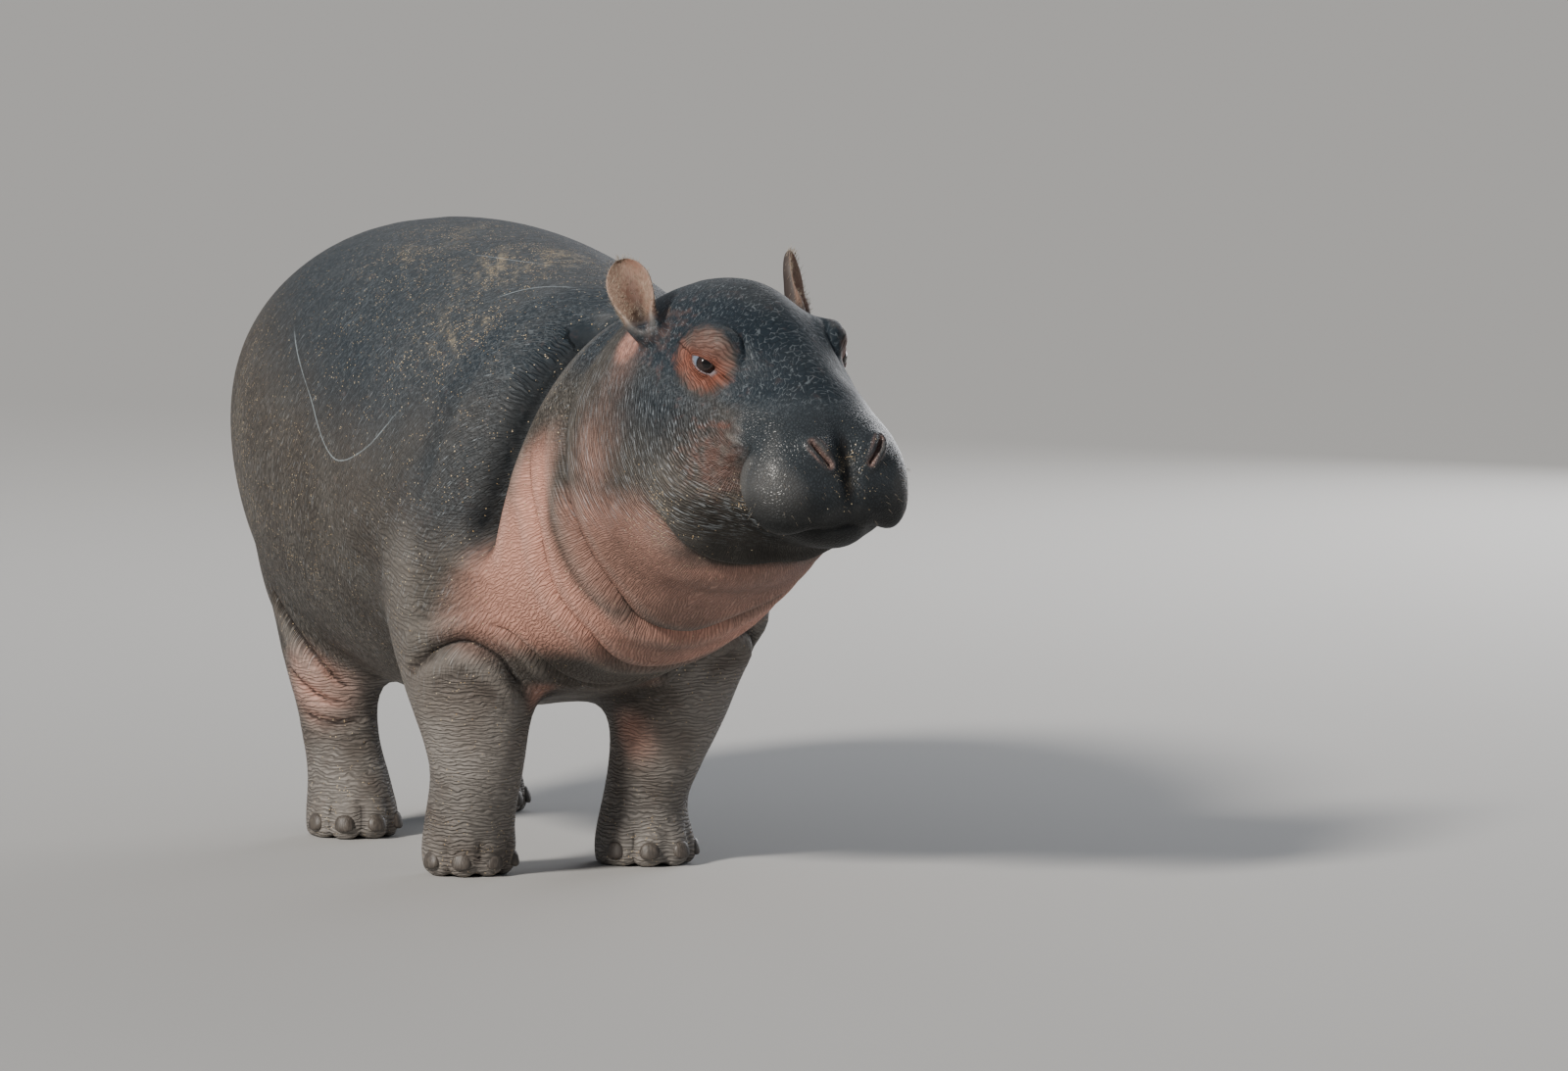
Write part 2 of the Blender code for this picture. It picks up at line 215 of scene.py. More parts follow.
def split_where(mesh, wanted):
    """Each face whose middle is wanted is split in four, and what has many sides into triangles."""
    picked = np.flatnonzero(wanted(middles_of(mesh)))
    bm = bmesh.new()
    bm.from_mesh(mesh)
    bm.faces.ensure_lookup_table()
    chosen = {edge for i in picked for edge in bm.faces[i].edges}
    bmesh.ops.subdivide_edges(bm, edges=list(chosen), cuts=1, use_grid_fill=True)
    many = [face for face in bm.faces if len(face.verts) > 4]
    bmesh.ops.triangulate(bm, faces=many)
    bm.to_mesh(mesh)
    bm.free()


def relax_new(mesh, wanted):
    """The wanted points are eased, with their bulk kept."""
    found = points_of(mesh)
    picked = wanted(found).astype(float)[:, None]
    put_points(mesh, softened(found, edges_of(mesh), 0.5 * picked, RELAX_ROUNDS))


def smooth_curve(at, values, want):
    """The cubic Hermite curve through the values at their places, read at other places.

    Between two values p and q, a span s apart with slopes m and n, it is
    p (1 + 2t) (1 - t)^2 + m s t (1 - t)^2 + q t^2 (3 - 2t) + n s t^2 (t - 1). The slopes are
    the mean ones.
    """
    slopes = np.gradient(values, at, axis=0)
    i = np.clip(np.searchsorted(at, want, side="right") - 1, 0, len(at) - 2)
    shape = i.shape + (1,) * (values.ndim - 1)
    span = (at[i + 1] - at[i]).reshape(shape)
    t = (want - at[i]).reshape(shape) / span
    return (
        values[i] * (1 + 2 * t) * (1 - t) ** 2
        + slopes[i] * span * t * (1 - t) ** 2
        + values[i + 1] * t * t * (3 - 2 * t)
        + slopes[i + 1] * span * t * t * (t - 1)
    )


def path_through(knots, count=90):
    """A smooth path through a few knots, read at even steps of the length between them."""
    knots = np.array(knots, float)
    steps = np.linalg.norm(np.diff(knots, axis=0), axis=1)
    at = np.concatenate([[0], np.cumsum(steps)])
    return smooth_curve(at, knots, np.linspace(0, at[-1], count))


def beside(points, normals, path, reach):
    """Where each point within reach of a path lies by it.

    For the nearest place on the path: the indices of those points, the distance along the
    skin, signed so that it is above 0 on the right of the way the path runs seen from
    outside, and the share of the path's length that lies before it.
    """
    low, high = path.min(0) - reach, path.max(0) + reach
    near = np.flatnonzero(((points > low) & (points < high)).all(1))
    spot = points[near]
    gap = ((spot[:, None, :] - path[None, :, :]) ** 2).sum(2)
    best = gap.argmin(1)
    close = gap[np.arange(len(near)), best] < reach ** 2
    near, spot, best = near[close], spot[close], best[close]
    way = np.gradient(path, axis=0)
    step = np.linalg.norm(way, axis=1)
    way = way / step[:, None]
    away = spot - path[best]
    lengthwise = (away * way[best]).sum(1)
    across = away - lengthwise[:, None] * way[best]
    across = across - (across * normals[near]).sum(1)[:, None] * normals[near]
    side = np.sign((np.cross(way[best], normals[near]) * across).sum(1))
    along = (best + np.clip(lengthwise / step[best], -0.5, 0.5)) / (len(path) - 1)
    past_end = ((best == 0) & (lengthwise < 0)) | ((best == len(path) - 1) & (lengthwise > 0))
    distance = np.linalg.norm(across, axis=1)
    distance = np.where(past_end, np.hypot(distance, lengthwise), distance)
    return near, side * distance, np.clip(along, 0, 1)


def fold(mesh, knots, depth, left, right, swell=0.0, pinch=0.45, fade=(0.15, 0.15), reach=0.07):
    """A crease along a path, with a soft roll on each side of it.

    The skin sinks by depth times exp(-distance / width), where the width is that of its own
    side, and swells by a bell of the distance at two and a half widths. It is drawn toward
    the crease by a share, pinch, of its distance times the same fall, which closes the
    crease. Fade is the share of the path at each end over which the crease runs out.
    """
    points, normals = points_of(mesh), outward(mesh)
    path = path_through(knots)
    near, off, along = beside(points, normals, path, reach)
    strength = ramp(along, 0, fade[0]) if fade[0] else 1
    if fade[1]:
        strength = strength * (1 - ramp(along, 1 - fade[1], 1))
    width = np.where(off > 0, right, left)
    fall = np.exp(-np.abs(off) / width)
    rise = swell * hill(np.abs(off) - 2.5 * width, 1.3 * width)
    way = np.gradient(path, axis=0)
    way = way[np.clip((along * (len(path) - 1)).round().astype(int), 0, len(path) - 1)]
    aside = np.cross(way, normals[near])
    aside /= np.maximum(np.linalg.norm(aside, axis=1), 1e-9)[:, None]
    lean = -pinch * off * fall * strength
    lift = (rise - depth * fall) * strength
    points[near] += normals[near] * lift[:, None] + aside * lean[:, None]
    put_points(mesh, points)


def mirrored(knots, middle=0.0):
    """The same knots on the other side of an upright plane at x = middle."""
    return [(2 * middle - x, y, z) for x, y, z in knots]


# Knots of the folds. Each starts on the right side, and those of the neck run down it and round
# under the throat or the chest.
SHOULDER_FOLD = [
    (-0.005, -0.225, 0.524), (-0.040, -0.232, 0.510), (-0.072, -0.233, 0.480),
    (-0.098, -0.230, 0.437), (-0.114, -0.225, 0.395), (-0.124, -0.212, 0.350),
    (-0.129, -0.198, 0.315), (-0.128, -0.185, 0.285),
]
ROLL_FRONT = [
    (-0.070, -0.298, 0.478), (-0.092, -0.304, 0.435), (-0.095, -0.318, 0.385),
    (-0.080, -0.332, 0.322), (-0.052, -0.331, 0.282), (-0.012, -0.314, 0.244),
    (0.030, -0.312, 0.236), (0.070, -0.330, 0.254), (0.100, -0.325, 0.300),
    (0.120, -0.305, 0.350), (0.124, -0.295, 0.400),
]
ROLL_BACK = [
    (-0.098, -0.258, 0.432), (-0.111, -0.268, 0.380), (-0.106, -0.284, 0.328),
    (-0.088, -0.278, 0.276), (-0.055, -0.272, 0.237), (-0.010, -0.245, 0.205),
    (0.045, -0.245, 0.204), (0.090, -0.260, 0.240), (0.118, -0.262, 0.300),
    (0.128, -0.255, 0.360),
]
CHEST_FOLD = [
    (-0.124, -0.172, 0.241), (-0.100, -0.184, 0.236), (-0.068, -0.183, 0.208),
    (-0.022, -0.158, 0.180), (0.022, -0.158, 0.180), (0.068, -0.183, 0.208),
    (0.100, -0.184, 0.236), (0.124, -0.172, 0.241),
]
ARCH = [
    (-0.176, -0.108, 0.186), (-0.160, -0.145, 0.212), (-0.132, -0.165, 0.221),
    (-0.104, -0.170, 0.206), (-0.078, -0.158, 0.182), (-0.056, -0.138, 0.168),
]


def both_sides(knots):
    """Head places (left, ahead, up) of the right side as knots on the right and on the left."""
    for side in (1, -1):
        yield [from_head(side * left, ahead, up) for left, ahead, up in knots]


MOUTH = [
    (-0.090, 0.048, -0.106), (-0.080, 0.068, -0.122), (-0.062, 0.084, -0.138),
    (-0.040, 0.104, -0.142), (-0.018, 0.114, -0.140), (0.000, 0.117, -0.137),
]
PAD_EDGE = [
    (-0.072, 0.078, -0.063), (-0.077, 0.068, -0.075), (-0.080, 0.062, -0.092),
    (-0.081, 0.062, -0.108), (-0.079, 0.070, -0.124),
]
JAW_EDGE = [
    (-0.113, -0.036, -0.116), (-0.106, -0.018, -0.138), (-0.090, -0.008, -0.164),
    (-0.062, -0.006, -0.184), (-0.030, 0.004, -0.187), (0.000, 0.012, -0.183),
]
NOSTRIL = [(-0.037, 0.114, -0.065), (-0.030, 0.118, -0.074), (-0.022, 0.122, -0.084)]
CHEEK_LINES = [(-0.092, 0.020, -0.092), (-0.082, 0.046, -0.086), (-0.075, 0.064, -0.080)]
FINE_NEAR = [  # how close to these the faces are split, for knots in the frame
    (0.011, (SHOULDER_FOLD, mirrored(SHOULDER_FOLD, 0.004), ROLL_FRONT, ROLL_BACK)),
    (0.009, (CHEST_FOLD, ARCH, mirrored(ARCH))),
]
FINE_FACE = [  # the same, for knots in the head
    (0.010, PAD_EDGE), (0.010, MOUTH), (0.010, JAW_EDGE), (0.024, NOSTRIL), (0.010, CHEEK_LINES),
]


def wants_detail(spot):
    """The head, the neck and shoulder folds, and the feet."""
    _, ahead, _ = in_head(spot)
    return (ahead > -0.12) | (spot[:, 1] < -0.14) & (spot[:, 2] > 0.17) | (spot[:, 2] < 0.095)


def near_path(spot, knots, reach):
    """True within reach of the smooth path through the knots."""
    path = path_through(knots, 40)
    low, high = path.min(0) - reach, path.max(0) + reach
    found = ((spot > low) & (spot < high)).all(1)
    gap = ((spot[found][:, None, :] - path[None, :, :]) ** 2).sum(2).min(1)
    found[found] = gap < reach ** 2
    return found


def wants_crease(spot):
    """Close to a crease of the neck, to the mouth or to a lip pad's edge, and round the eyes."""
    found = np.zeros(len(spot), bool)
    for reach, folds in FINE_NEAR:
        for knots in folds:
            found |= near_path(spot, knots, reach)
    for reach, knots in FINE_FACE:
        for one_side in both_sides(knots):
            found |= near_path(spot, one_side, reach)
    left, ahead, up = in_head(spot)
    found |= (np.hypot(ahead - 0.005, up - 0.003) < 0.038) & (np.abs(left) > 0.035)
    return found


for wanted in (wants_detail, wants_crease):
    split_where(skin.data, wanted)
    relax_new(skin.data, wanted)

# ---------------------------------------------------------------- neck and shoulder folds
# The throat and chest hang in rolls of fat under the hide. Creases part them where the neck and
# the forelegs move, the deepest in front of each shoulder and smaller ones over each foreleg.

fold(skin.data, SHOULDER_FOLD, 0.044, 0.010, 0.027, swell=0.003)
fold(skin.data, mirrored(SHOULDER_FOLD, 0.004), 0.044, 0.027, 0.010, swell=0.003)
fold(skin.data, ROLL_FRONT, 0.010, 0.007, 0.007, swell=0.002)
fold(skin.data, ROLL_BACK, 0.008, 0.006, 0.007, swell=0.002)
fold(skin.data, CHEST_FOLD, 0.007, 0.005, 0.006, swell=0.0015)
fold(skin.data, ARCH, 0.012, 0.008, 0.006, swell=0.003, fade=(0.2, 0.2))
fold(skin.data, mirrored(ARCH), 0.012, 0.006, 0.008, swell=0.003, fade=(0.2, 0.2))


# ---------------------------------------------------------------- folds of the hind legs
# The loose flank hangs over the top of each hind leg in a fold of fat and hide, and the leg
# itself creases where it bends. A cleft parts the hams below the tail.

FLANK_FOLD = [
    (-0.163, 0.348, 0.240), (-0.153, 0.318, 0.212), (-0.147, 0.294, 0.191),
    (-0.134, 0.276, 0.168), (-0.119, 0.271, 0.152), (-0.100, 0.270, 0.139), (-0.080, 0.276, 0.131),
]
THIGH_FOLD = [
    (-0.142, 0.330, 0.168), (-0.141, 0.307, 0.149), (-0.131, 0.290, 0.136),
    (-0.116, 0.280, 0.127), (-0.099, 0.276, 0.124), (-0.078, 0.284, 0.121),
]
SHANK_FOLD = [
    (-0.128, 0.325, 0.122), (-0.127, 0.300, 0.111), (-0.112, 0.283, 0.106),
    (-0.095, 0.278, 0.109), (-0.074, 0.290, 0.114),
]
STRIDE = 0.160  # how far behind the right hind leg the left one stands


def on_skin(knots, piece):
    """Each knot moved to the nearest place on the piece."""
    return [tuple(piece.closest_point_on_mesh(Vector(knot))[1]) for knot in knots]


def on_left_leg(knots):
    """The knots of the right hind leg moved over to the left one."""
    return [(x, y + STRIDE, z) for x, y, z in mirrored(knots)]


CLEFT = [
    (0, 0.575, 0.380), (0, 0.560, 0.320), (0, 0.530, 0.262), (0, 0.495, 0.215), (0, 0.460, 0.180),
]
LEG_FOLDS = [  # knots, depth, width above and width below
    (FLANK_FOLD, 0.010, 0.010, 0.005),
    (THIGH_FOLD, 0.005, 0.005, 0.004),
    (SHANK_FOLD, 0.004, 0.005, 0.004),
]


def wants_leg_fold(spot):
    """Close to the cleft and to the folds of both hind legs."""
    found = near_path(spot, on_skin(CLEFT, skin), 0.03)
    for knots, *_ in LEG_FOLDS:
        found |= near_path(spot, knots, 0.018) | near_path(spot, on_left_leg(knots), 0.018)
    return found


split_where(skin.data, wants_leg_fold)
relax_new(skin.data, wants_leg_fold)
for knots, depth, above, below in LEG_FOLDS:
    fold(skin.data, on_skin(knots, skin), depth, above, below, swell=0.0015, fade=(0.3, 0.3))
    other = on_skin(on_left_leg(knots), skin)
    fold(skin.data, other, depth, below, above, swell=0.0015, fade=(0.3, 0.3))
fold(skin.data, on_skin(CLEFT, skin), 0.014, 0.016, 0.016, swell=0.004, fade=(0.4, 0.2))


# ---------------------------------------------------------------- muzzle and jaw
# The muzzle is broad and swollen: two fat lip pads hang over the lower lip, with a groove
# between them. The skin is pressed out in soft bulges, and the mouth and the jaw's edge are
# creases in it.

BULGES = [  # place, radii and lift of the bulges and dips of one side
    ((0.054, 0.096, -0.106), (0.030, 0.036, 0.028), 0.006),  # the lip pad
    ((0.060, 0.100, -0.130), (0.020, 0.026, 0.018), 0.008),  # its hanging lower edge
    ((0.030, 0.112, -0.070), (0.017, 0.019, 0.014), 0.006),  # the mound of the nostril
    ((0.056, 0.090, -0.062), (0.026, 0.026, 0.018), 0.004),  # the top of the pad
    ((0.105, 0.000, -0.100), (0.040, 0.045, 0.045), 0.004),  # the cheek
    ((0.061, 0.018, 0.019), (0.021, 0.018, 0.020), 0.0085),  # the mound of the eye
    ((0.045, 0.052, -0.014), (0.026, 0.020, 0.022), -0.0045),  # the dip in front of the eye
]
MIDDLE_BULGES = [
    ((0, 0.030, 0.030), (0.030, 0.045, 0.025), -0.0025),  # the dip of the brow
    ((0, 0.120, -0.088), (0.010, 0.024, 0.034), -0.009),  # the groove between the pads
    ((0, 0.112, -0.133), (0.036, 0.030, 0.015), 0.011),  # the middle of the upper lip
    ((0, 0.104, -0.148), (0.056, 0.034, 0.018), 0.0085),  # the lower lip
]
FURROW_DEPTHS = (0.0012, 0.0020, 0.0014, 0.0022, 0.0012)  # five furrows behind each pad
FURROW = [  # where the first furrow runs, and how far on each next one lies
    ((-0.082, 0.040, -0.044), (-0.003, -0.004, -0.014)),
    ((-0.077, 0.054, -0.056), (-0.002, -0.003, -0.011)),
    ((-0.072, 0.067, -0.066), (-0.002, -0.002, -0.008)),
]


def press(mesh, place, radii, lift):
    """The skin rises by lift times the bell of its distance from a head place, in radii."""
    points, normals = points_of(mesh), outward(mesh)
    gap = sum(((c - m) / r) ** 2 for c, m, r in zip(in_head(points), place, radii))
    put_points(mesh, points + normals * (lift * np.exp(-gap))[:, None])


for side in (-1, 1):
    for (aside, forward, high), radii, lift in BULGES:
        press(skin.data, (side * aside, forward, high), radii, lift)
for place, radii, lift in MIDDLE_BULGES:
    press(skin.data, place, radii, lift)
jaw = [from_head(*place) for place in JAW_EDGE + mirrored(JAW_EDGE[-2::-1])]
mouth = [from_head(*place) for place in MOUTH + mirrored(MOUTH[-2::-1])]
fold(skin.data, jaw, 0.010, 0.007, 0.016, swell=0.002, fade=(0.12, 0.12))
fold(skin.data, mouth, 0.007, 0.004, 0.008, swell=0.001, fade=(0.16, 0.16), reach=0.04)
for side, knots in zip((-1, 1), both_sides(PAD_EDGE)):
    widths = (0.005, 0.008) if side < 0 else (0.008, 0.005)
    fold(skin.data, knots, 0.010, *widths, swell=0.002, fade=(0.25, 0.1), reach=0.04)
for rank, depth in enumerate(FURROW_DEPTHS):
    furrow = [[place + rank * step for place, step in zip(*knot)] for knot in FURROW]
    for knots in both_sides(furrow):
        fold(skin.data, on_skin(knots, skin), depth, 0.0020, 0.0026, swell=0.0005,
             fade=(0.5, 0.3), reach=0.02)


# ---------------------------------------------------------------- eyes' lids and mounds
# Each eye lies in a low dome of flesh at the top of the head. Thick, wrinkled lids close round
# the ball and fold above and below it, and are shaped by their distance from its opening.

GAZE = math.radians(42)  # outward from straight ahead
EYE_TILT = math.radians(33)  # the opening slopes down to its front corner
OPENING = 1.12  # half the opening's length, as an angle about the ball's middle
UPPER_LID, LOWER_LID = 0.24, -0.42  # the lids' height at their middle, as angles
LID = 0.0022  # the lids' thickness at the rim
UPPER_FOLDS = [(0.0066, 0.0022), (0.0128, 0.0028), (0.0190, 0.0012)]  # distance and depth
LOWER_FOLDS = [(0.0045, 0.0010), (0.0085, 0.0013), (0.0130, 0.0012), (0.0180, 0.0010)]
FOLD_WIDE = 0.0011
BEHIND_LIDS = -0.0035  # how far off the ball's surface the skin goes within the opening
DOME, DOME_WIDE = 0.005, 0.027  # how far the dome swells, and its radius


def eye_axes(side):
    """Unit vectors: the gaze, along the opening to its front corner, and across it, upward."""
    sign = SIDES[side]
    gaze = math.cos(GAZE) * AHEAD + sign * math.sin(GAZE) * TO_LEFT
    inward = math.sin(GAZE) * AHEAD - sign * math.cos(GAZE) * TO_LEFT
    along = math.cos(EYE_TILT) * inward - math.sin(EYE_TILT) * UP
    across = math.sin(EYE_TILT) * inward + math.cos(EYE_TILT) * UP
    return gaze, along, across


def lid_distance(spot, side):
    """How far each point lies outside the opening, along the ball, in metres.

    A point is put on the ball from its middle, and its angle from the gaze is split into one
    part along the opening and one across. The lids' rims are parabolas there. Returns the
    distance outside the rims, below 0 within them, the two angles, and the reach from the
    ball's middle.
    """
    gaze, along, across = eye_axes(side)
    away = spot - EYE_MIDDLE[side]
    reach = np.linalg.norm(away, axis=1)
    turned = away / reach[:, None]
    off = np.arccos(np.clip(turned @ gaze, -1, 1))
    sideways, upright = turned @ along, turned @ across
    flat = np.maximum(np.hypot(sideways, upright), 1e-9)
    a, b = off * sideways / flat, off * upright / flat
    bow = 1 - np.abs(a / OPENING) ** 2.2
    inside = np.maximum(b - UPPER_LID * bow, LOWER_LID * bow - b)
    beyond = np.hypot(np.abs(a) - OPENING, b)
    outside = np.where(np.abs(a) < OPENING, inside, beyond)
    return outside * EYE_RADIUS, a, b, reach


def near_opening(spot, least, most):
    """True before either eye, where the distance outside its opening lies between the two."""
    found = np.zeros(len(spot), bool)
    for side in SIDES:
        gaze, _, _ = eye_axes(side)
        away = spot - EYE_MIDDLE[side]
        outside, _, _, reach = lid_distance(spot, side)
        found |= (outside > least) & (outside < most) & (away @ gaze > -0.002) & (reach < 0.045)
    return found


def shape_eye(mesh, side):
    """The dome swells, the lids close in on the ball, and the skin between them goes behind it.

    The reach from the ball's middle becomes the ball's radius plus a lift, which is below 0
    within the opening, steps up to the rim, and blends into the dome over 14 mm. The folds
    of the lids are sharp dips, exp(-distance / FOLD_WIDE), at set distances from the rims.
    """
    points, normals = points_of(mesh), outward(mesh)
    gaze, along, across = eye_axes(side)
    away = points - EYE_MIDDLE[side]
    near = np.flatnonzero((np.linalg.norm(away, axis=1) < 0.07) & (away @ gaze > -0.015))
    middle = EYE_MIDDLE[side] + 0.006 * UP + 0.004 * along
    flat = (points[near] - middle) - ((points[near] - middle) @ gaze)[:, None] * gaze
    ring = np.linalg.norm(flat, axis=1)
    points[near] += gaze * (DOME * hill(ring, DOME_WIDE) - 0.002 * hill(ring - 0.036, 0.006))[:, None]
    outside, a, b, reach = lid_distance(points[near], side)
    rim = (LID + 0.0023) * ramp(outside, -0.0002, 0.0009)
    target = EYE_RADIUS + (BEHIND_LIDS + rim + 0.0012 * ramp(outside, 0.0009, 0.0030))
    far = ramp(reach, EYE_RADIUS + 0.014, EYE_RADIUS + 0.030)
    blend = (1 - ramp(outside, 0.002, 0.016)) * (1 - far)
    new = reach + (target - reach) * blend
    middle_part = (1 - ramp(np.abs(a), 0.8 * OPENING, 1.4 * OPENING)) * (1 - far)
    for folds, this_lid in ((UPPER_FOLDS, b > 0), (LOWER_FOLDS, b <= 0)):
        for distance, depth in folds:
            dip = depth * np.exp(-np.abs(outside - distance) / FOLD_WIDE)
            new -= np.where(this_lid, dip * middle_part, 0)
    points[near] = EYE_MIDDLE[side] + (points[near] - EYE_MIDDLE[side]) * (new / reach)[:, None]
    put_points(mesh, points)


for least, most in ((-1, 0.015), (-0.003, 0.003)):
    split_where(skin.data, lambda spot: near_opening(spot, least, most))
for side in SIDES:
    shape_eye(skin.data, side)
EYE_CORNER = [(-0.0665, 0.0170, -0.0080), (-0.0630, 0.0230, -0.0110), (-0.0590, 0.0310, -0.0160)]
MOUND_EDGE = [
    (-0.0560, -0.0060, 0.0370), (-0.0510, 0.0120, 0.0330), (-0.0470, 0.0230, 0.0220),
    (-0.0480, 0.0300, 0.0060), (-0.0540, 0.0320, -0.0100),
]
for knots in both_sides(EYE_CORNER):
    fold(skin.data, on_skin(knots, skin), 0.0030, 0.0018, 0.0018, fade=(0, 0.6), reach=0.015)
for knots in both_sides(MOUND_EDGE):
    fold(skin.data, on_skin(knots, skin), 0.0026, 0.0030, 0.0030, swell=0.0006, fade=(0.4, 0.4),
         reach=0.025)


# ---------------------------------------------------------------- nostrils
# Each nostril is a slanting slit on a low mound, with a thick rim of muscle that shuts it under
# water. The skin sinks along a short path and swells round it.

SLIT_DEEP, RIM_PROUD = 0.009, 0.0016


def wants_nostril(spot):
    """Close to either slit."""
    found = np.zeros(len(spot), bool)
    for knots in both_sides(NOSTRIL):
        found |= near_path(spot, knots, 0.012)
    return found


def open_nostril(mesh, knots):
    """A slit: the skin sinks by SLIT_DEEP within 2 mm of the path, with a raised rim round it."""
    points, normals = points_of(mesh), outward(mesh)
    near, off, along = beside(points, normals, path_through(knots, 40), 0.02)
    gap = np.abs(off)
    half = 0.0020 - 0.0009 * np.abs(2 * along - 0.7)
    sunk = 1 - ramp(gap, half - 0.0012, half + 0.0010)
    lift = RIM_PROUD * hill(gap - 0.0052, 0.0026) - SLIT_DEEP * sunk
    points[near] += normals[near] * lift[:, None]
    put_points(mesh, points)


split_where(skin.data, wants_nostril)
for knots in both_sides(NOSTRIL):
    open_nostril(skin.data, knots)


# ---------------------------------------------------------------- toes
# Four short toes share each broad, round, padded foot. Upright grooves part them, and each has
# a shallow bed for its nail.

TOE_GROOVES = [math.radians(angle) for angle in (-42, 0, 42)]  # from straight ahead of the foot
GROOVE_DEEP, GROOVE_WIDE, GROOVE_TOP = 0.0050, 0.0040, 0.046
BED_DEEP, BED_WIDE = 0.0036, 0.0105
LEGS = [name for name in flesh if name.startswith("leg")]


def foot_axes(leg):
    """The middle of the foot's toes on the floor, and the unit vector straight ahead of it."""
    nails = [middle_of(leg.replace("leg", "nail") + "_" + str(n)) for n in (1, 2, 3, 4)]
    outer = (nails[0] + nails[3]) / 2
    facing = (nails[1] + nails[2]) / 2 - outer
    facing[2] = 0
    facing /= np.linalg.norm(facing)
    middle = outer - 0.021 * facing
    middle[2] = 0
    return middle, facing


def part_toes(mesh, leg):
    """Grooves that sink by exp(-distance round the foot / width), fading out up the foot."""
    points, normals = points_of(mesh), outward(mesh)
    middle, facing = foot_axes(leg)
    away = points - middle
    near = np.flatnonzero((np.hypot(away[:, 0], away[:, 1]) < 0.075) & (points[:, 2] < 0.06))
    away = away[near]
    ahead = away @ facing
    aside = away[:, 0] * facing[1] - away[:, 1] * facing[0]
    angle, far = np.arctan2(aside, ahead), np.hypot(aside, ahead)
    tall = 1 - ramp(points[near, 2], 0.5 * GROOVE_TOP, GROOVE_TOP)
    for groove in TOE_GROOVES:
        gap = np.abs(angle - groove) * far
        points[near] -= normals[near] * (GROOVE_DEEP * np.exp(-gap / GROOVE_WIDE) * tall)[:, None]
    points[:, 2] = np.maximum(points[:, 2], 0)
    put_points(mesh, points)


for leg in LEGS:
    part_toes(skin.data, leg)
for nail in horny:
    points, normals = points_of(skin.data), outward(skin.data)
    gap = ((points - middle_of(nail)) ** 2).sum(1)
    near = np.flatnonzero((gap < 0.03 ** 2) & (points[:, 2] > 0.001))
    points[near] -= normals[near] * (BED_DEEP * np.exp(-gap[near] / BED_WIDE ** 2))[:, None]
    put_points(skin.data, points)


# ---------------------------------------------------------------- nails
# A short, blunt, shield-shaped nail of horn stands a little proud of the end of each toe. It is
# half sunk in its bed, bent round the toe, tipped back at its top and finely ridged up and down.

NAIL_HALF = (0.0092, 0.0036, 0.0080)  # across, deep and tall
NAIL_SET = 0.0026  # how far it is set back into the toe
NAIL_BOW = 0.022  # radius round which the nail is bent
NAIL_TIP = math.radians(14)  # its top tipped back
HORN_DARK, HORN_PALE = (0.050, 0.041, 0.035, 1), (0.098, 0.083, 0.070, 1)
HORN_STAIN = (0.045, 0.038, 0.033, 1)


def lofted(name, rings):
    """A closed surface over rows of rings, with one point closing each end, facing outward."""
    rows, columns, _ = rings.shape
    ends = np.stack([rings[0].mean(0), rings[-1].mean(0)])
    points = np.concatenate([rings.reshape(-1, 3), ends])
    row, column = np.meshgrid(np.arange(rows - 1), np.arange(columns), indexing="ij")
    after = (column + 1) % columns
    corners = np.stack([
        row * columns + column, row * columns + after,
        (row + 1) * columns + after, (row + 1) * columns + column,
    ], -1).reshape(-1, 4)
    i = np.arange(columns)
    j = (i + 1) % columns
    top = (rows - 1) * columns
    low_cap = np.stack([j, i, np.full(columns, rows * columns)], 1)
    high_cap = np.stack([top + i, top + j, np.full(columns, rows * columns + 1)], 1)
    a, b, c, d = (points[corners[:, k]] for k in range(4))
    volume = (np.cross(a, b) * c).sum() + (np.cross(a, c) * d).sum()
    faces = corners.tolist() + low_cap.tolist() + high_cap.tolist()
    if volume < 0:
        faces = [face[::-1] for face in faces]
    mesh = bpy.data.meshes.new(name)
    mesh.from_pydata(points.tolist(), [], faces)
    mesh.shade_smooth()
    return added(name, mesh)


def swelled(values, power):
    """The values raised to a power, their signs kept: below 1 it makes a round outline squarer."""
    return np.sign(values) * np.abs(values) ** power


def new_material(name):
    """A new material, the tree of its nodes, and its shader."""
    made = bpy.data.materials.new(name)
    made.use_nodes = True
    return made, made.node_tree, made.node_tree.nodes["Principled BSDF"]


def plug(node, **given):
    """Gives the node's sockets, named or by place, a value or another node's output each."""
    for name, value in given.items():
        socket = node.inputs[int(name[1:]) if name[0] == "_" else name.replace("_", " ")]
        if isinstance(value, bpy.types.NodeSocket):
            tree.links.new(value, socket)
        else:
            socket.default_value = value


def put(kind, setting=None, out=0, **given):
    """A new node of that kind in the tree, set and plugged as given; returns one output."""
    made = tree.nodes.new("ShaderNode" + kind)
    for name, value in (setting or {}).items():
        setattr(made, name, value)
    plug(made, **given)
    return made.outputs[out]


def noise(vector, scale, detail=2.0, out=0):
    """Soft cloudy noise, about scale blots to each unit of the place."""
    return put("TexNoise", out=out, Vector=vector, Scale=scale, Detail=detail)


def moved(operation, vector, **given):
    """The place after one operation on all three of its numbers."""
    return put("VectorMath", {"operation": operation}, _0=vector, **given)


def between(value, low, high, least=0.0, most=1.0):
    """The value eased from least at low to most at high."""
    smooth = {"interpolation_type": "SMOOTHSTEP"}
    return put("MapRange", smooth, _0=value, _1=low, _2=high, _3=least, _4=most)


def blended(share, first, second, how="MIX"):
    """Second laid over first, by its share."""
    return put("Mix", {"data_type": "RGBA", "blend_type": how}, 2, _0=share, _6=first, _7=second)


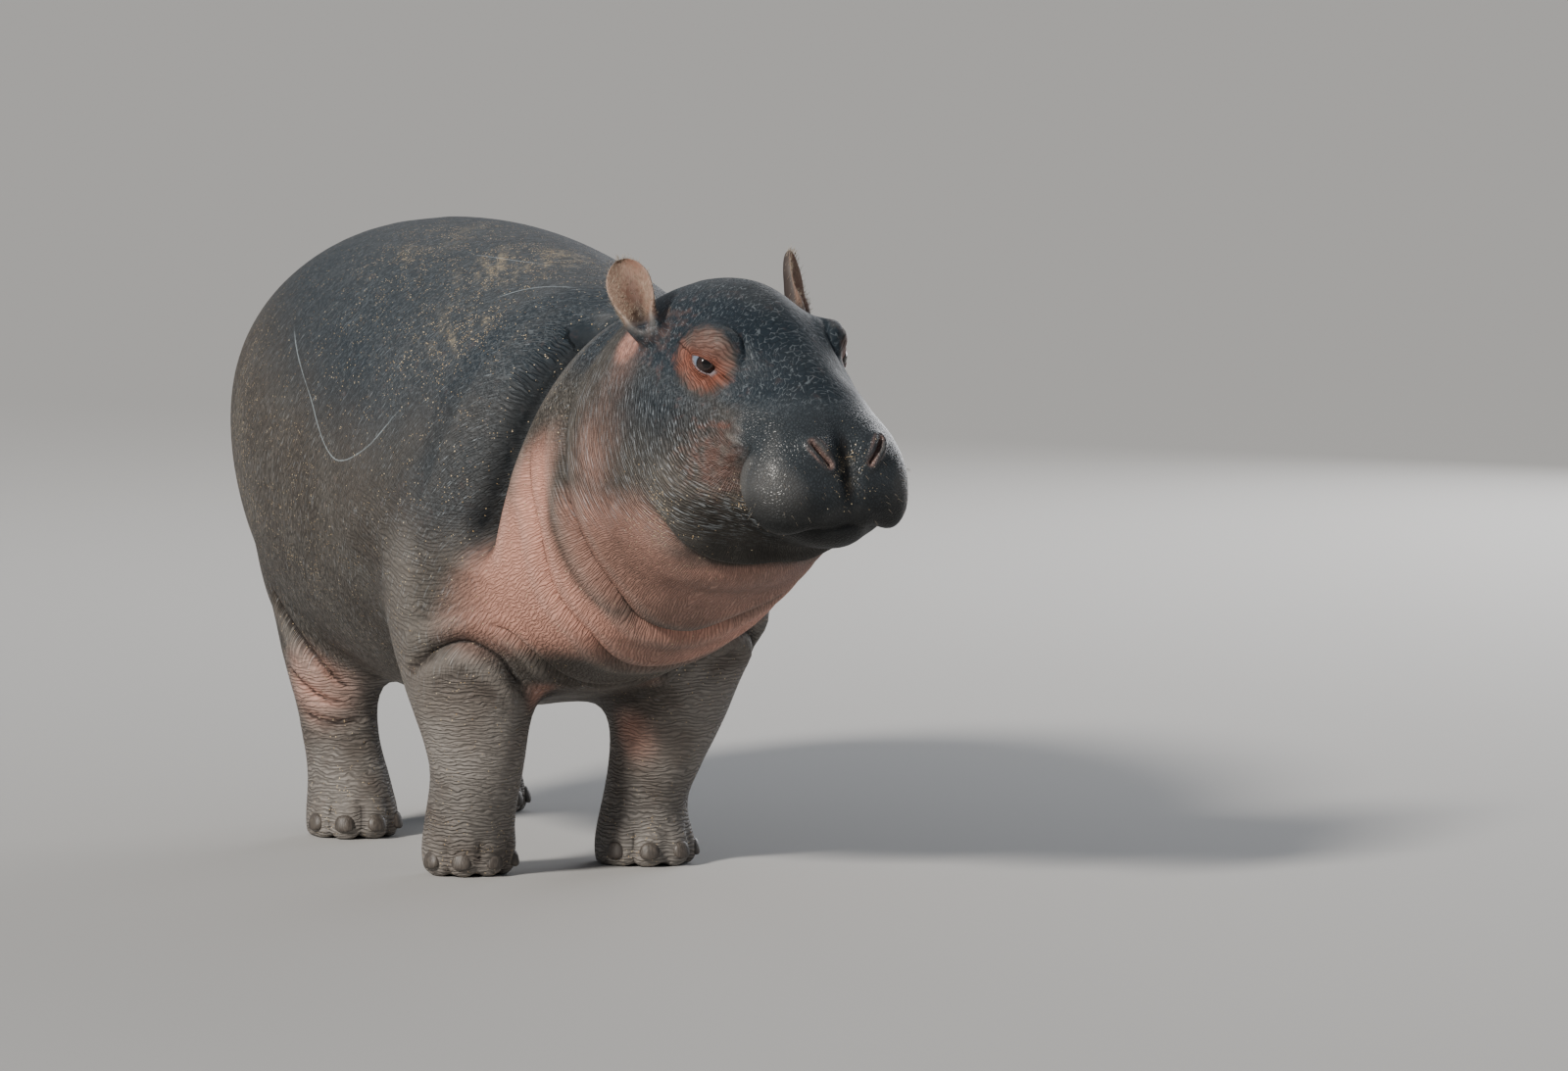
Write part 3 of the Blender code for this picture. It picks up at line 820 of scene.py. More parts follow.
horn, tree, shader = new_material("horn")
where = put("TexCoord", out=3)
ridges = noise(moved("MULTIPLY", where, _1=(900, 900, 90)), 1.0)
stain = noise(where, 90.0, 3.0)
tone = blended(between(ridges, 0.35, 0.65), HORN_DARK, HORN_PALE)
tone = blended(between(stain, 0.45, 0.70), tone, HORN_STAIN)
relief = put("Bump", Strength=0.6, Distance=0.0006, Height=ridges)
plug(shader, Base_Color=tone, Normal=relief, Roughness=between(stain, 0.3, 0.7, 0.42, 0.62))

turn, climb = np.meshgrid(
    np.linspace(0, 2 * np.pi, 26, endpoint=False), np.linspace(0.12, np.pi - 0.12, 15)
)
belt = np.sin(climb) ** 0.8
across = NAIL_HALF[0] * belt * swelled(np.cos(turn), 0.8) * (1 - 0.10 * np.cos(climb))
deep = NAIL_HALF[1] * belt * swelled(np.sin(turn), 0.8) + across ** 2 / (2 * NAIL_BOW)
tall = NAIL_HALF[2] * swelled(np.cos(climb), 0.85)
for leg in LEGS:
    middle, facing = foot_axes(leg)
    for n in (1, 2, 3, 4):
        name = leg.replace("leg", "nail") + "_" + str(n)
        seat = middle_of(name)
        out = seat - middle
        out[2] = 0
        out /= np.linalg.norm(out)
        seat = seat - NAIL_SET * out
        side_way = np.array([-out[1], out[0], 0])
        up_way = UP * math.cos(NAIL_TIP) - out * math.sin(NAIL_TIP)
        out_way = out * math.cos(NAIL_TIP) + UP * math.sin(NAIL_TIP)
        rings = seat + across[..., None] * side_way - deep[..., None] * out_way + tall[..., None] * up_way
        nail = lofted(name + "_horn", rings)
        nail.data.materials.append(horn)
        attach(nail, "root")
        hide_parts(name)


# ---------------------------------------------------------------- ears
# Each ear is a short cupped leaf of skin over gristle, on a thick stalk behind the eye. It is
# grown on the head as one skin with it, and the skin round its root is then eased.

EAR_ROOT = (0.085, -0.069, 0.025)  # left, ahead and up in the head
EAR_TALL, EAR_WIDE, EAR_DEEP = 0.0680, 0.0205, 0.0115  # length, half width, half depth
EAR_SUNK = 0.034  # how far its buried end is drawn in toward the middle of the head
EAR_SPLAY, EAR_LEAN, EAR_TURN = (math.radians(angle) for angle in (11, 18, 38))
EAR_HALF_WIDTHS = [  # height up the ear as a share of it, and half width
    (-0.6, 0.024), (-0.2, 0.0190), (0.0, 0.0165), (0.2, 0.0160), (0.4, 0.0185),
    (0.65, EAR_WIDE), (1.05, EAR_WIDE),
]
EAR_HALF_DEPTHS = [
    (-0.6, 0.024), (-0.2, 0.0200), (0.0, 0.0170), (0.2, 0.0135), (0.5, EAR_DEEP), (1.05, 0.0085),
]


def curve(knots, at):
    """The smooth curve through (place, value) knots."""
    place, value = np.array(knots, float).T
    return smooth_curve(place, value, at)


def ear_frame(side):
    """The ear's root and its axes: across it to the left, backward and up the ear."""
    sign = SIDES[side]
    turned = (
        Matrix.Rotation(sign * EAR_SPLAY, 3, "Y")
        @ Matrix.Rotation(-EAR_LEAN, 3, "X")
        @ Matrix.Rotation(sign * EAR_TURN, 3, "Z")
    )
    head_axes = np.stack([TO_LEFT, -AHEAD, UP], 1)
    left, ahead, up = EAR_ROOT
    return from_head(sign * left, ahead, up), head_axes @ np.array(turned)


def ear_rings():
    """Sections of the ear from far below its root to its tip, in its own axes.

    The height v runs from -0.5 to 1. The half width grows up the stalk and then closes as a
    half ellipse. The back is a half ellipse. The front bulges at both rims and sinks between
    them by (1 - (aside / slot)^2)^1.1, which makes the bowl: a slot at v = 0 that widens
    until it fills the leaf.
    """
    closing = 0.6 + 0.4 * np.sin(np.linspace(0, 1.53, 19)[1:])
    v = np.concatenate([np.linspace(-0.5, 0.6, 34), closing])[:, None]
    u = np.linspace(-np.pi, np.pi, 48, endpoint=False)[None, :]
    top = np.sqrt(np.clip(1 - (np.clip(v - 0.6, 0, 1) / 0.4) ** 2, 0, 1))
    wide = curve(EAR_HALF_WIDTHS, v) * top
    deep = curve(EAR_HALF_DEPTHS, v) * top ** 0.7
    aside, back = np.sin(u), np.cos(u)
    slot = 0.40 + 0.60 * ramp(v, 0.0, 0.5)
    bowl = np.clip(1 - (aside / slot) ** 2, 0, 1) ** 1.1
    hollow = ramp(v, -0.02, 0.22) * 1.5 * deep * bowl
    front = np.where(back < 0, 0.76 * deep * back + hollow, deep * back)
    front = front + 0.006 * v ** 2
    return np.stack([wide * aside + 0 * v, front, EAR_TALL * v + 0 * u], -1)


def grown_on(piece, form):
    """The form becomes one with the piece: an exact union, its many-sided faces triangulated."""
    union = piece.modifiers.new("Union", "BOOLEAN")
    union.operation = "UNION"
    union.solver = "EXACT"
    union.object = form
    worked_in(piece)
    bpy.data.objects.remove(form)
    bm = bmesh.new()
    bm.from_mesh(piece.data)
    bmesh.ops.triangulate(bm, faces=[face for face in bm.faces if len(face.verts) > 4])
    bm.to_mesh(piece.data)
    bm.free()


for side in SIDES:
    root, axes = ear_frame(side)
    rings = ear_rings()
    inward = EAR_SUNK * ramp(-rings[..., 2], -0.15 * EAR_TALL, 0.5 * EAR_TALL)
    leaf = lofted("ear_leaf", root + rings @ axes.T - SIDES[side] * inward[..., None] * TO_LEFT)
    grown_on(skin, leaf)
    points = points_of(skin.data)
    away = (points - root) @ axes
    close = hill(np.hypot(away[:, 0], away[:, 1]), 0.030) * hill(away[:, 2] + 0.006, 0.014)
    share = 0.5 * np.clip(close * 1.6, 0, 1)[:, None]
    put_points(skin.data, eased(points, edges_of(skin.data), share, 14))


# ---------------------------------------------------------------- tail
# A short, flat paddle of a tail lies down the rump, thick at its root and thin at its tip. It is
# flesh in the same hide, so it is laid close over the rump and grown on it.

TAIL_PATH = [  # back from the hindmost and up from the topmost place of the solid tail
    (-0.075, -0.006), (-0.050, -0.018), (-0.031, -0.036), (-0.0170, -0.068), (-0.0113, -0.105),
    (-0.0163, -0.143), (-0.0270, -0.172),
]
TAIL_HALF = [(0, 0.024), (0.2, 0.022), (0.45, 0.0185), (0.7, 0.0195), (0.88, 0.0165), (1.05, 0.012)]
TAIL_THICK = [(0, 0.020), (0.25, 0.0165), (0.5, 0.0120), (0.75, 0.0095), (1.05, 0.0060)]
TAIL_PROUD = (-0.016, -0.004, 0.004, 0.008, 0.010, 0.010, 0.011)  # off the rump at those places
TAIL_RINGS, TAIL_ROOT = 60, 12  # sections along the tail, and the one at its root
tail_low, tail_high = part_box("tail")
tail_mid = (tail_low.x + tail_high.x) / 2
knots = [Vector((tail_mid, tail_high.y + back, tail_high.z + rise)) for back, rise in TAIL_PATH]
laid = []
for knot, proud in zip(knots, TAIL_PROUD):
    _, place, slope, _ = skin.closest_point_on_mesh(knot)
    laid.append(tuple(place + slope * proud))
line = path_through(laid, TAIL_RINGS)
share = np.linspace(0, 1, TAIL_RINGS)
tip = np.sqrt(np.clip(1 - (np.clip(share - 0.86, 0, 1) / 0.145) ** 2, 0, 1))
way = np.gradient(line, axis=0)
way /= np.linalg.norm(way, axis=1)[:, None]
aside = np.array([1.0, 0, 0])
outer = np.cross(way, aside)
turn = np.linspace(0, 2 * np.pi, 40, endpoint=False)
rings = (
    line[:, None, :]
    + (curve(TAIL_HALF, share) * tip)[:, None, None] * np.cos(turn)[None, :, None] * aside
    + (curve(TAIL_THICK, share) * tip)[:, None, None] * np.sin(turn)[None, :, None] * outer[:, None, :]
)
grown_on(skin, lofted("tail_form", rings))
points = points_of(skin.data)
gap = np.linalg.norm(points - line[TAIL_ROOT], axis=1)
put_points(skin.data, eased(points, edges_of(skin.data), 0.5 * hill(gap, 0.032)[:, None], 12))


# ---------------------------------------------------------------- eyes
# A dark wet ball, with a brown iris so dark that the black pupil hardly shows in it and a
# blue-white edge where the lids meet it. The ball is a sphere, a little proud over the iris.

IRIS_TURN, IRIS_RISE = math.radians(36), math.radians(3)  # the look, outward and upward
IRIS_DARK, IRIS_PALE = (0.014, 0.010, 0.010, 1), (0.034, 0.021, 0.018, 1)
PUPIL_BLACK, IRIS_EDGE = (0.004, 0.003, 0.003, 1), (0.012, 0.009, 0.010, 1)
EYE_WHITE = (0.150, 0.180, 0.235, 1)
eyeball, tree, shader = new_material("eyeball")
turned = put("Attribute", {"attribute_name": "from_pupil"}, 2)
fibres = noise(put("TexCoord", out=3), 900.0, 3.0)
tone = blended(between(fibres, 0.35, 0.65), IRIS_DARK, IRIS_PALE)
tone = blended(between(turned, 0.22, 0.30, 1.0, 0.0), tone, PUPIL_BLACK)
tone = blended(between(turned, 0.52, 0.66), tone, IRIS_EDGE)
tone = blended(between(turned, 0.66, 0.76), tone, EYE_WHITE)
plug(shader, Base_Color=tone, Roughness=0.12)
for side, sign in SIDES.items():
    look = math.cos(IRIS_TURN) * AHEAD + sign * math.sin(IRIS_TURN) * TO_LEFT
    look = math.cos(IRIS_RISE) * look + math.sin(IRIS_RISE) * UP
    aside = np.cross(UP, look)
    aside /= np.linalg.norm(aside)
    upward = np.cross(look, aside)
    off = np.concatenate([np.linspace(0.03, 1.3, 44), np.linspace(1.36, 3.08, 18)])[:, None]
    round_about = np.linspace(0, 2 * np.pi, 64, endpoint=False)[None, :]
    radius = EYE_RADIUS - 0.0003 + 0.0011 * (1 - ramp(off, 0.30, 0.62))
    rings = EYE_MIDDLE[side] + radius[..., None] * (
        np.cos(off)[..., None] * look
        + (np.sin(off) * np.cos(round_about))[..., None] * aside
        + (np.sin(off) * np.sin(round_about))[..., None] * upward
    )
    ball = lofted("eyeball_" + side, rings)
    angle = np.concatenate([np.broadcast_to(off, rings.shape[:2]).ravel(), [0.0, np.pi]])
    ball.data.attributes.new("from_pupil", "FLOAT", "POINT").data.foreach_set("value", angle)
    ball.data.materials.append(eyeball)
    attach(ball, "root")
    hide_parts("eye_" + side)


# ---------------------------------------------------------------- colours of the hide
# Slate blue on the back and brow, grey-brown on the flanks, salmon pink in the neck rolls and
# where the legs rub, red round the eyes, and near black on the lips and under the jaw, which is
# partly the skin's own colour and partly painted shade under the lip pads and chin. The skin keeps
# a mask for each colour, and masks for the painted shade in hollows, in the ears' bowls and along
# the shoulders' creases.

PINK_IN_HEAD = [  # strength; place left or right of, ahead of and above the eyes; radius
    (0.95, (0.076, -0.102, 0.010), 0.021),
    (0.12, (0.098, 0.010, -0.095), 0.045),
]
PINK_ON_BODY = [  # strength, place and radius
    (0.80, (-0.052, -0.142, 0.172), 0.022),
    (0.50, (0.052, -0.142, 0.172), 0.022),
    (0.75, (0.045, -0.090, 0.120), 0.035),
    (0.75, (-0.045, -0.090, 0.120), 0.035),
    (0.62, (-0.125, 0.290, 0.140), 0.045),
    (0.85, (0.125, 0.450, 0.140), 0.045),
    (0.80, (0, 0.545, 0.300), 0.060),
]
RUST_IN_HEAD = [
    (0.45, (0.089, -0.072, 0.012), 0.016),
    (0.50, (0.076, -0.101, 0.010), 0.018),
    (0.85, (0.084, 0.042, -0.084), 0.034),
    (0.35, (0.076, -0.060, 0.030), 0.040),
]
SAND_IN_HEAD = [
    (0.90, (0.115, -0.014, -0.127), 0.020),
    (0.80, (0.061, 0.081, -0.138), 0.014),
    (0.70, (0.080, 0.056, -0.115), 0.014),
    (0.75, (0.0, 0.120, -0.092), 0.022),
    (0.40, (0.105, -0.030, -0.150), 0.045),
]
SAND_ON_BODY = [
    (1.40, (-0.030, -0.030, 0.560), 0.070),
    (0.80, (-0.055, 0.120, 0.565), 0.080),
    (1.30, (-0.109, -0.110, 0.501), 0.034),
    (0.60, (-0.185, 0.340, 0.410), 0.080),
    (0.45, (-0.060, 0.020, 0.550), 0.150),
    (0.70, (-0.120, -0.080, 0.500), 0.070),
    (0.35, (-0.190, 0.150, 0.300), 0.110),
    (0.45, (-0.180, 0.330, 0.330), 0.110),
    (1.20, (-0.183, 0.119, 0.264), 0.015),
]
CREASE_HIGH = (0.18, 0.285, 0.350, 0.430, 0.520)  # heights up the shoulder crease
CREASE_BACK = (-0.150, -0.185, -0.208, -0.229, -0.232)  # and where along the calf it is there

points, normals = points_of(skin.data), outward(skin.data)
x, y, z = points.T
left, ahead, up = in_head(points)
apart = np.abs(left)
edges = edges_of(skin.data)


def keep(name, values):
    """The values stay on the skin's points as an attribute of that name."""
    values = np.asarray(values, float)
    kind, part = ("FLOAT", "value") if values.ndim == 1 else ("FLOAT_VECTOR", "vector")
    skin.data.attributes.new(name, kind, "POINT").data.foreach_set(part, values.ravel())


def head_bell(place, radius):
    """exp(-(distance / radius)^2) from a place in the head (left, ahead, up), on both sides."""
    gap = (apart - place[0]) ** 2 + (ahead - place[1]) ** 2 + (up - place[2]) ** 2
    return np.exp(-gap / radius ** 2)


def body_bell(place, radius):
    """The same from a place in the frame."""
    return np.exp(-((points - place) ** 2).sum(1) / radius ** 2)


def strongest(bell, spots):
    """At each point, the greatest strength times bell of all the spots."""
    return np.maximum.reduce([strength * bell(place, radius) for strength, place, radius in spots])


crease_y = np.interp(z, CREASE_HIGH, CREASE_BACK)
in_front = 1 - ramp(y - crease_y, -0.010, 0.012)  # ahead of the shoulder crease
softly = (1 - ramp(y - crease_y, -0.040, 0.050)) * (1 - ramp(z, 0.30, 0.36))
before = in_front * ramp(z, 0.30, 0.36) + softly  # the same, but with a soft edge low down
headward = 1 - ramp(y + 0.10 * x, -0.335, -0.300)  # ahead of the front neck fold
knees = hill(np.hypot(np.hypot(np.abs(x) - 0.118, y + 0.125), z - 0.170), 0.050)
legs = np.maximum(1 - ramp(z, 0.13, 0.20), np.clip(1.5 * knees, 0, 1))
shaded = hill(x, 0.10) * (1 - ramp(z, 0.20, 0.30)) * ramp(z, 0.10, 0.20)  # between the legs

ring_gap, lid_gap, lid_angle, lid_rise = (np.full(len(points), 1.0) for _ in range(4))
for side in SIDES:
    gaze, along, across = eye_axes(side)
    away = points - EYE_MIDDLE[side]
    near = np.flatnonzero((np.linalg.norm(away, axis=1) < 0.08) & (away @ gaze > -0.02))
    outside, a, b, _ = lid_distance(points[near], side)
    flat = away[near] - (away[near] @ gaze)[:, None] * gaze - 0.004 * UP
    ring_gap[near] = np.linalg.norm(flat, axis=1)
    lid_gap[near], lid_angle[near], lid_rise[near] = outside, np.arctan2(b, a), b
eye_patch = 1 - ramp(ring_gap, 0.015, 0.038)

muzzle = ramp(ahead + 0.3 * (up + 0.08), 0.052, 0.074) * (1 - ramp(up, -0.050, -0.022))
under_lip = 1 - ramp(up + 0.12 * ahead, -0.122, -0.100)
behind_jaw = np.full(len(points), 0.2)
near, off, _ = beside(points, normals, path_through(jaw), 0.11)
behind_jaw[near] = off
before_jaw = 1 - ramp(behind_jaw, -0.012, 0.003)
jaw_part = under_lip * before_jaw * ramp(ahead - 0.4 * (up + 0.14), -0.050, 0.030)
brow = ramp(up + 0.30 * ahead, -0.046, -0.006) * ramp(ahead, -0.15, -0.10)
slate = np.maximum.reduce([
    ramp(z + 0.25 * (0.1 - np.abs(y + 0.05)), 0.30, 0.52) * (1 - in_front),
    in_front * (1 - headward) * ramp(z, 0.44, 0.50) * 0.8,
    0.60 * (1 - in_front) * ramp(-y, 0.02, 0.15) * ramp(z, 0.24, 0.36),
    brow * headward,
    0.70 * headward * hill(up + 0.025, 0.070) * hill(ahead + 0.025, 0.110),
])
front_roll = in_front * hill(y + 0.285 + 0.10 * (z - 0.35), 0.040) * (1 - ramp(z, 0.37, 0.46))
low_rolls = before * (1 - ramp(z, 0.30, 0.42)) * ramp(z, 0.18, 0.24)
pink = np.maximum.reduce([
    0.92 * (1 - headward) * front_roll,
    0.90 * (1 - headward) * low_rolls,
    0.50 * headward * ramp(-up, 0.080, 0.140) * (1 - ramp(ahead, -0.06, 0.04)),
    0.40 * headward * hill(ahead + 0.115, 0.060) * hill(up + 0.085, 0.080),
    0.30 * headward * hill(ahead + 0.095, 0.035) * hill(up + 0.01, 0.060),
    0.50 * headward * (1 - ramp(up, -0.19, -0.165)),
    strongest(head_bell, PINK_IN_HEAD),
    strongest(body_bell, PINK_ON_BODY),
])
rust = np.maximum(eye_patch, strongest(head_bell, RUST_IN_HEAD))
nostril = np.zeros(len(points))
for knots in both_sides(NOSTRIL):
    near, off, _ = beside(points, normals, path_through(knots, 40), 0.03)
    nostril[near] = np.maximum(nostril[near], 1 - ramp(np.abs(off), 0.0025, 0.0060))
pink = pink * (1 - 0.5 * shaded) * (1 - 0.9 * jaw_part) * (1 - muzzle)
slate = slate * (1 - eye_patch)
cleft = np.exp(-(left / 0.010) ** 2) * muzzle * (1 - ramp(up, -0.075, -0.055))
# Near black: partly the dark skin of the lips and jaw, partly painted shade under the lip pads, under the
# chin and jaw and in the groove between the pads.
dark = np.maximum.reduce([
    0.80 * jaw_part, 0.9 * muzzle * (1 - ramp(up, -0.130, -0.088)), 0.22 * muzzle, 0.9 * cleft,
    under_lip * ramp(ahead, 0.02, 0.06),
])
dark = dark * (1 - nostril)
ear_skin, inside_ear, ear_bowl_shade = (np.zeros(len(points)) for _ in range(3))
for side in SIDES:
    root, axes = ear_frame(side)
    spot = (points - root) @ axes
    slim = (np.abs(spot[:, 0]) < 0.027) * (1 - ramp(np.abs(spot[:, 1] - 0.004), 0.013, 0.019))
    leaf = ramp(spot[:, 2], 0.002, 0.020) * slim * (spot[:, 2] < 0.08)
    ear_skin = np.maximum(ear_skin, leaf)
    inside_ear = np.maximum(inside_ear, leaf * ramp(-(normals @ axes[:, 1]), 0.0, 0.5))
    # The middle of the ear's bowl, which gets painted shade.
    hollow = np.exp(-(spot[:, 0] / 0.0105) ** 2 - ((spot[:, 2] - 0.034) / 0.019) ** 2)
    ear_bowl_shade = np.maximum(ear_bowl_shade, inside_ear * hollow * slim)
slate, pink = slate * (1 - ear_skin), pink * (1 - ear_skin)
bristly = muzzle * (1 - nostril) * ramp(-up, 0.060, 0.085) * (1 - ramp(-up, 0.128, 0.140))
sand = np.maximum.reduce([
    strongest(body_bell, SAND_ON_BODY), strongest(head_bell, SAND_IN_HEAD),
    0.30 * (1 - ramp(z, 0.02, 0.10)), 0.09 * (1 - headward),
])

# How hollow the skin is at each point, above 0 in hollows and below 0 on convex places; the hollows get
# painted shade from it.
hollow = ((eased(points, edges, 0.5, 6) - points) * normals).sum(1) / 0.0012
broad = ((eased(points, edges, 0.5, 60) - points) * normals).sum(1) / 0.006
crease = np.clip(0.7 * hollow + 0.6 * broad, -1, 1.6) * (1 - 0.75 * nostril)
calm = np.maximum.reduce([  # where the wrinkles are weak
    0.75 * brow * headward * (1 - eye_patch), 0.8 * muzzle,
    eye_patch * (0.25 + 0.30 * ramp(lid_rise, 0.0, 0.4)), 0.30 * slate * (1 - headward),
])
furrowed = np.clip(brow * headward * (1 - muzzle) * (1 - eye_patch) * (1 - ear_skin), 0, 1)
lower_rim = (1 - ramp(lid_gap, 0.0004, 0.0015)) * (1 - ramp(lid_rise, -0.10, 0.15))

for name, values in (
    ("slate", slate), ("pink", pink), ("rust", rust), ("dark", dark), ("muzzle", muzzle),
    ("sand", sand), ("crease", crease), ("legs", legs), ("ears", ear_skin),
    ("inside_ear", inside_ear), ("ear_bowl_shade", ear_bowl_shade), ("nostril", nostril),
    ("calm", calm), ("brow", furrowed),
    ("lid_near", (1 - ramp(lid_gap, 0.0020, 0.0105)) * (ring_gap < 0.05)),
    ("lid_height", np.where(ring_gap < 0.06, lid_rise, 0.5)),
    ("rim", lower_rim * (1 - ramp(ring_gap, 0.012, 0.017))),
):
    keep(name, values)


# ---------------------------------------------------------------- lie of the wrinkles
# Fine wrinkles lean up and forward on the barrel, cross the neck rolls, run down the cheek into
# the corner of the lip, ring the eyes and legs, and cross the edge of the shoulder in bars.

BARREL_AXIS, BARREL_ROUND = 0.355, 0.20  # height of the middle of the barrel, and its radius
NECK_AXIS, NECK_ROUND = (0.010, 0.370), 0.13
LIP_CORNER = (0.078, 0.064, -0.078)
CHEEK_MIDDLE = (0.094, 0.006)  # ahead and up: the wrinkles of the cheek swing round it
RIB = 0.0038  # from one wrinkle of a leg to the next
LEG_RUN = 0.022  # how long a wrinkle of a leg runs before it wavers
FAR_OFF = 50  # the distance kept where no scratch is near, in millimetres
SCRATCHES = {
    "long_scratch": [(-0.164, 0.232, 0.483), (-0.190, 0.111, 0.429), (-0.194, 0.015, 0.374),
                     (-0.186, -0.045, 0.392), (-0.165, -0.095, 0.439)],
    "high_scratch": [(-0.060, 0.030, 0.561), (-0.038, -0.030, 0.568), (-0.010, -0.070, 0.566)],
    "short_scratch": [(-0.086, -0.096, 0.539), (-0.053, -0.111, 0.553), (-0.016, -0.137, 0.558)],
}

round_barrel = np.arctan2(np.sqrt(x ** 2 + 0.02 ** 2), z - BARREL_AXIS)
round_neck = np.arctan2(np.abs(x - NECK_AXIS[0]), NECK_AXIS[1] - z)
keep("barrel_lie", np.stack([-y, -BARREL_ROUND * round_barrel, 0.5 * x], 1))
keep("neck_lie", np.stack([NECK_ROUND * round_neck, -y, 0.5 * x], 1))
keep("head_lie", np.stack([ahead * 0.87 + up * 0.5, ahead * 0.5 - up * 0.87, 0.7 * left], 1))
swing = np.hypot(ahead - CHEEK_MIDDLE[0], up - CHEEK_MIDDLE[1])
swung = np.arctan2(CHEEK_MIDDLE[1] - up, CHEEK_MIDDLE[0] - ahead)
keep("cheek_lie", np.stack([swing, 0.13 * swung, left], 1))
keep("cheek_share", headward * (1 - ramp(up + 0.30 * ahead, -0.050, -0.020)) * (1 - ear_skin))

local = np.stack([z / RIB, y / LEG_RUN, x / LEG_RUN], 1)
local_share = np.maximum(1 - ramp(z, 0.14, 0.185), ramp(knees, 0.25, 0.6))
fan = np.hypot(ahead - LIP_CORNER[1], up - LIP_CORNER[2])
fan_angle = np.arctan2(up - LIP_CORNER[2], LIP_CORNER[1] - ahead)
fan_share = (
    0.7 * (1 - ramp(fan, 0.030, 0.052)) * (1 - muzzle) * ramp(LIP_CORNER[1] + 0.012 - ahead, 0, 0.012)
    * (apart > 0.045) * (1 - jaw_part)
)
fan_lie = np.stack([fan_angle * 0.046 / 0.0024, fan / 0.016, np.sign(left)], 1)
local = np.where(((fan < 0.060) & (apart > 0.035) & (ahead < 0.10))[:, None], fan_lie, local)
ring_share = 1 - ramp(ring_gap, 0.026, 0.038)
ring_lie = np.stack([lid_gap / 0.0016, lid_angle * 1.1, np.sign(left)], 1)
local = np.where((ring_gap < 0.044)[:, None], ring_lie, local)
bar_share, slope = np.zeros(len(points)), np.zeros(len(points))
for knots, sign in ((SHOULDER_FOLD, 1), (mirrored(SHOULDER_FOLD, 0.004), -1)):
    path = path_through(knots)
    length = np.linalg.norm(np.diff(path, axis=0), axis=1).sum()
    near, off, along = beside(points, normals, path, 0.07)
    off = off * sign
    bars = ramp(off, 0.004, 0.012) * (1 - ramp(off, 0.026, 0.046)) * (1 - ramp(along, 0.35, 0.75))
    bars = np.where(off > 0, bars, 0) * ramp(along, 0.01, 0.10)
    bar_share[near] = np.maximum(bar_share[near], bars)
    local[near] = np.stack([along * length / 0.0050, off / 0.030, np.full(len(near), float(sign))], 1)
    # Painted shade: black along each shoulder's crease and dim over the slope of the roll beside it, kept
    # as slope.
    wide_shoulder_shade = 0.7 * (1 - ramp(np.abs(off - 0.004), 0.005, 0.024))
    shoulder_crease_shade = np.maximum(wide_shoulder_shade, 1 - ramp(np.abs(off - 0.001), 0.003, 0.008))
    shoulder_crease_shade = shoulder_crease_shade * ramp(along, 0.0, 0.15) * (1 - ramp(along, 0.85, 1.0))
    slope[near] = np.maximum(slope[near], shoulder_crease_shade)
keep("slope", slope)
keep("shoulder", (1 - before) * hill(y + 0.105, 0.125) * (1 - ramp(z, 0.30, 0.40)) * (1 - local_share))
keep("local_lie", local)
local_share = np.maximum.reduce([local_share, fan_share, ring_share * (ring_gap < 0.5), bar_share])
keep("local_share", local_share)
throat = headward * ramp(up, -0.17, -0.13)
keep("neck_share", before * (1 - legs) * (1 - ramp(z, 0.36, 0.45)) * (1 - throat))
keep("head_share", in_front * np.maximum(headward, ramp(z, 0.36, 0.45)) * (1 - ear_skin))

for name, knots in SCRATCHES.items():
    near, off, along = beside(points, normals, path_through(on_skin(knots, skin), 200), 0.05)
    values = np.zeros((len(points), 3))
    values[:, 0] = FAR_OFF
    strength = ramp(along, 0.0, 0.12) * (1 - ramp(along, 0.85, 1.0)) * (1 - ramp(np.abs(off), 0.014, 0.03))
    values[near] = np.stack([off * 1000, strength, along], 1)
    keep(name, values)


# ---------------------------------------------------------------- the hide
# Bare hide a centimetre or two thick, dry and dusty on the back, damp and glossy on the muzzle,
# with a net of fine wrinkles whose creases are painted darker than the ridges between them, as
# painted shade. Hollows, the ears' bowls, the shoulders' creases and the undersides of the lip
# pads are darkened with painted shade too.

LEAN = math.radians(30)
MM = 1000.0
FLANK, FLANK_PALE = (0.072, 0.061, 0.051, 1), (0.102, 0.092, 0.080, 1)
SHANK, SHANK_PALE = (0.130, 0.110, 0.096, 1), (0.205, 0.188, 0.172, 1)
SLATE_BLUE, SALMON = (0.018, 0.027, 0.036, 1), (0.600, 0.305, 0.232, 1)
LOW_RED, HIGH_RED = (0.320, 0.122, 0.084, 1), (0.185, 0.118, 0.100, 1)
LID_RED, SORE_BROWN = (0.215, 0.066, 0.038, 1), (0.130, 0.060, 0.045, 1)
EAR_BROWN = (0.062, 0.047, 0.043, 1)
BOWL_DARK, BOWL_PALE = (0.250, 0.160, 0.120, 1), (0.440, 0.320, 0.245, 1)
BOWL_RED, BOWL_SHADE = (0.300, 0.165, 0.120, 1), (0.150, 0.070, 0.050, 1)
WET_GREY, SLIT_PINK = (0.046, 0.055, 0.063, 1), (0.250, 0.165, 0.145, 1)
LIP_BLACK_AND_SHADE, LINE_BLUE = (0.008, 0.008, 0.007, 1), (0.390, 0.440, 0.480, 1)
HOLLOW_SHADE, FOLD_SHADE_BLACK = (0.012, 0.009, 0.008, 1), (0.006, 0.008, 0.010, 1)
RIDGE_PALE, DUST = (0.42, 0.38, 0.34, 1), (0.330, 0.275, 0.190, 1)
GRAIN_BROWN, GRAIN_PALE = (0.36, 0.24, 0.12, 1), (0.72, 0.60, 0.42, 1)
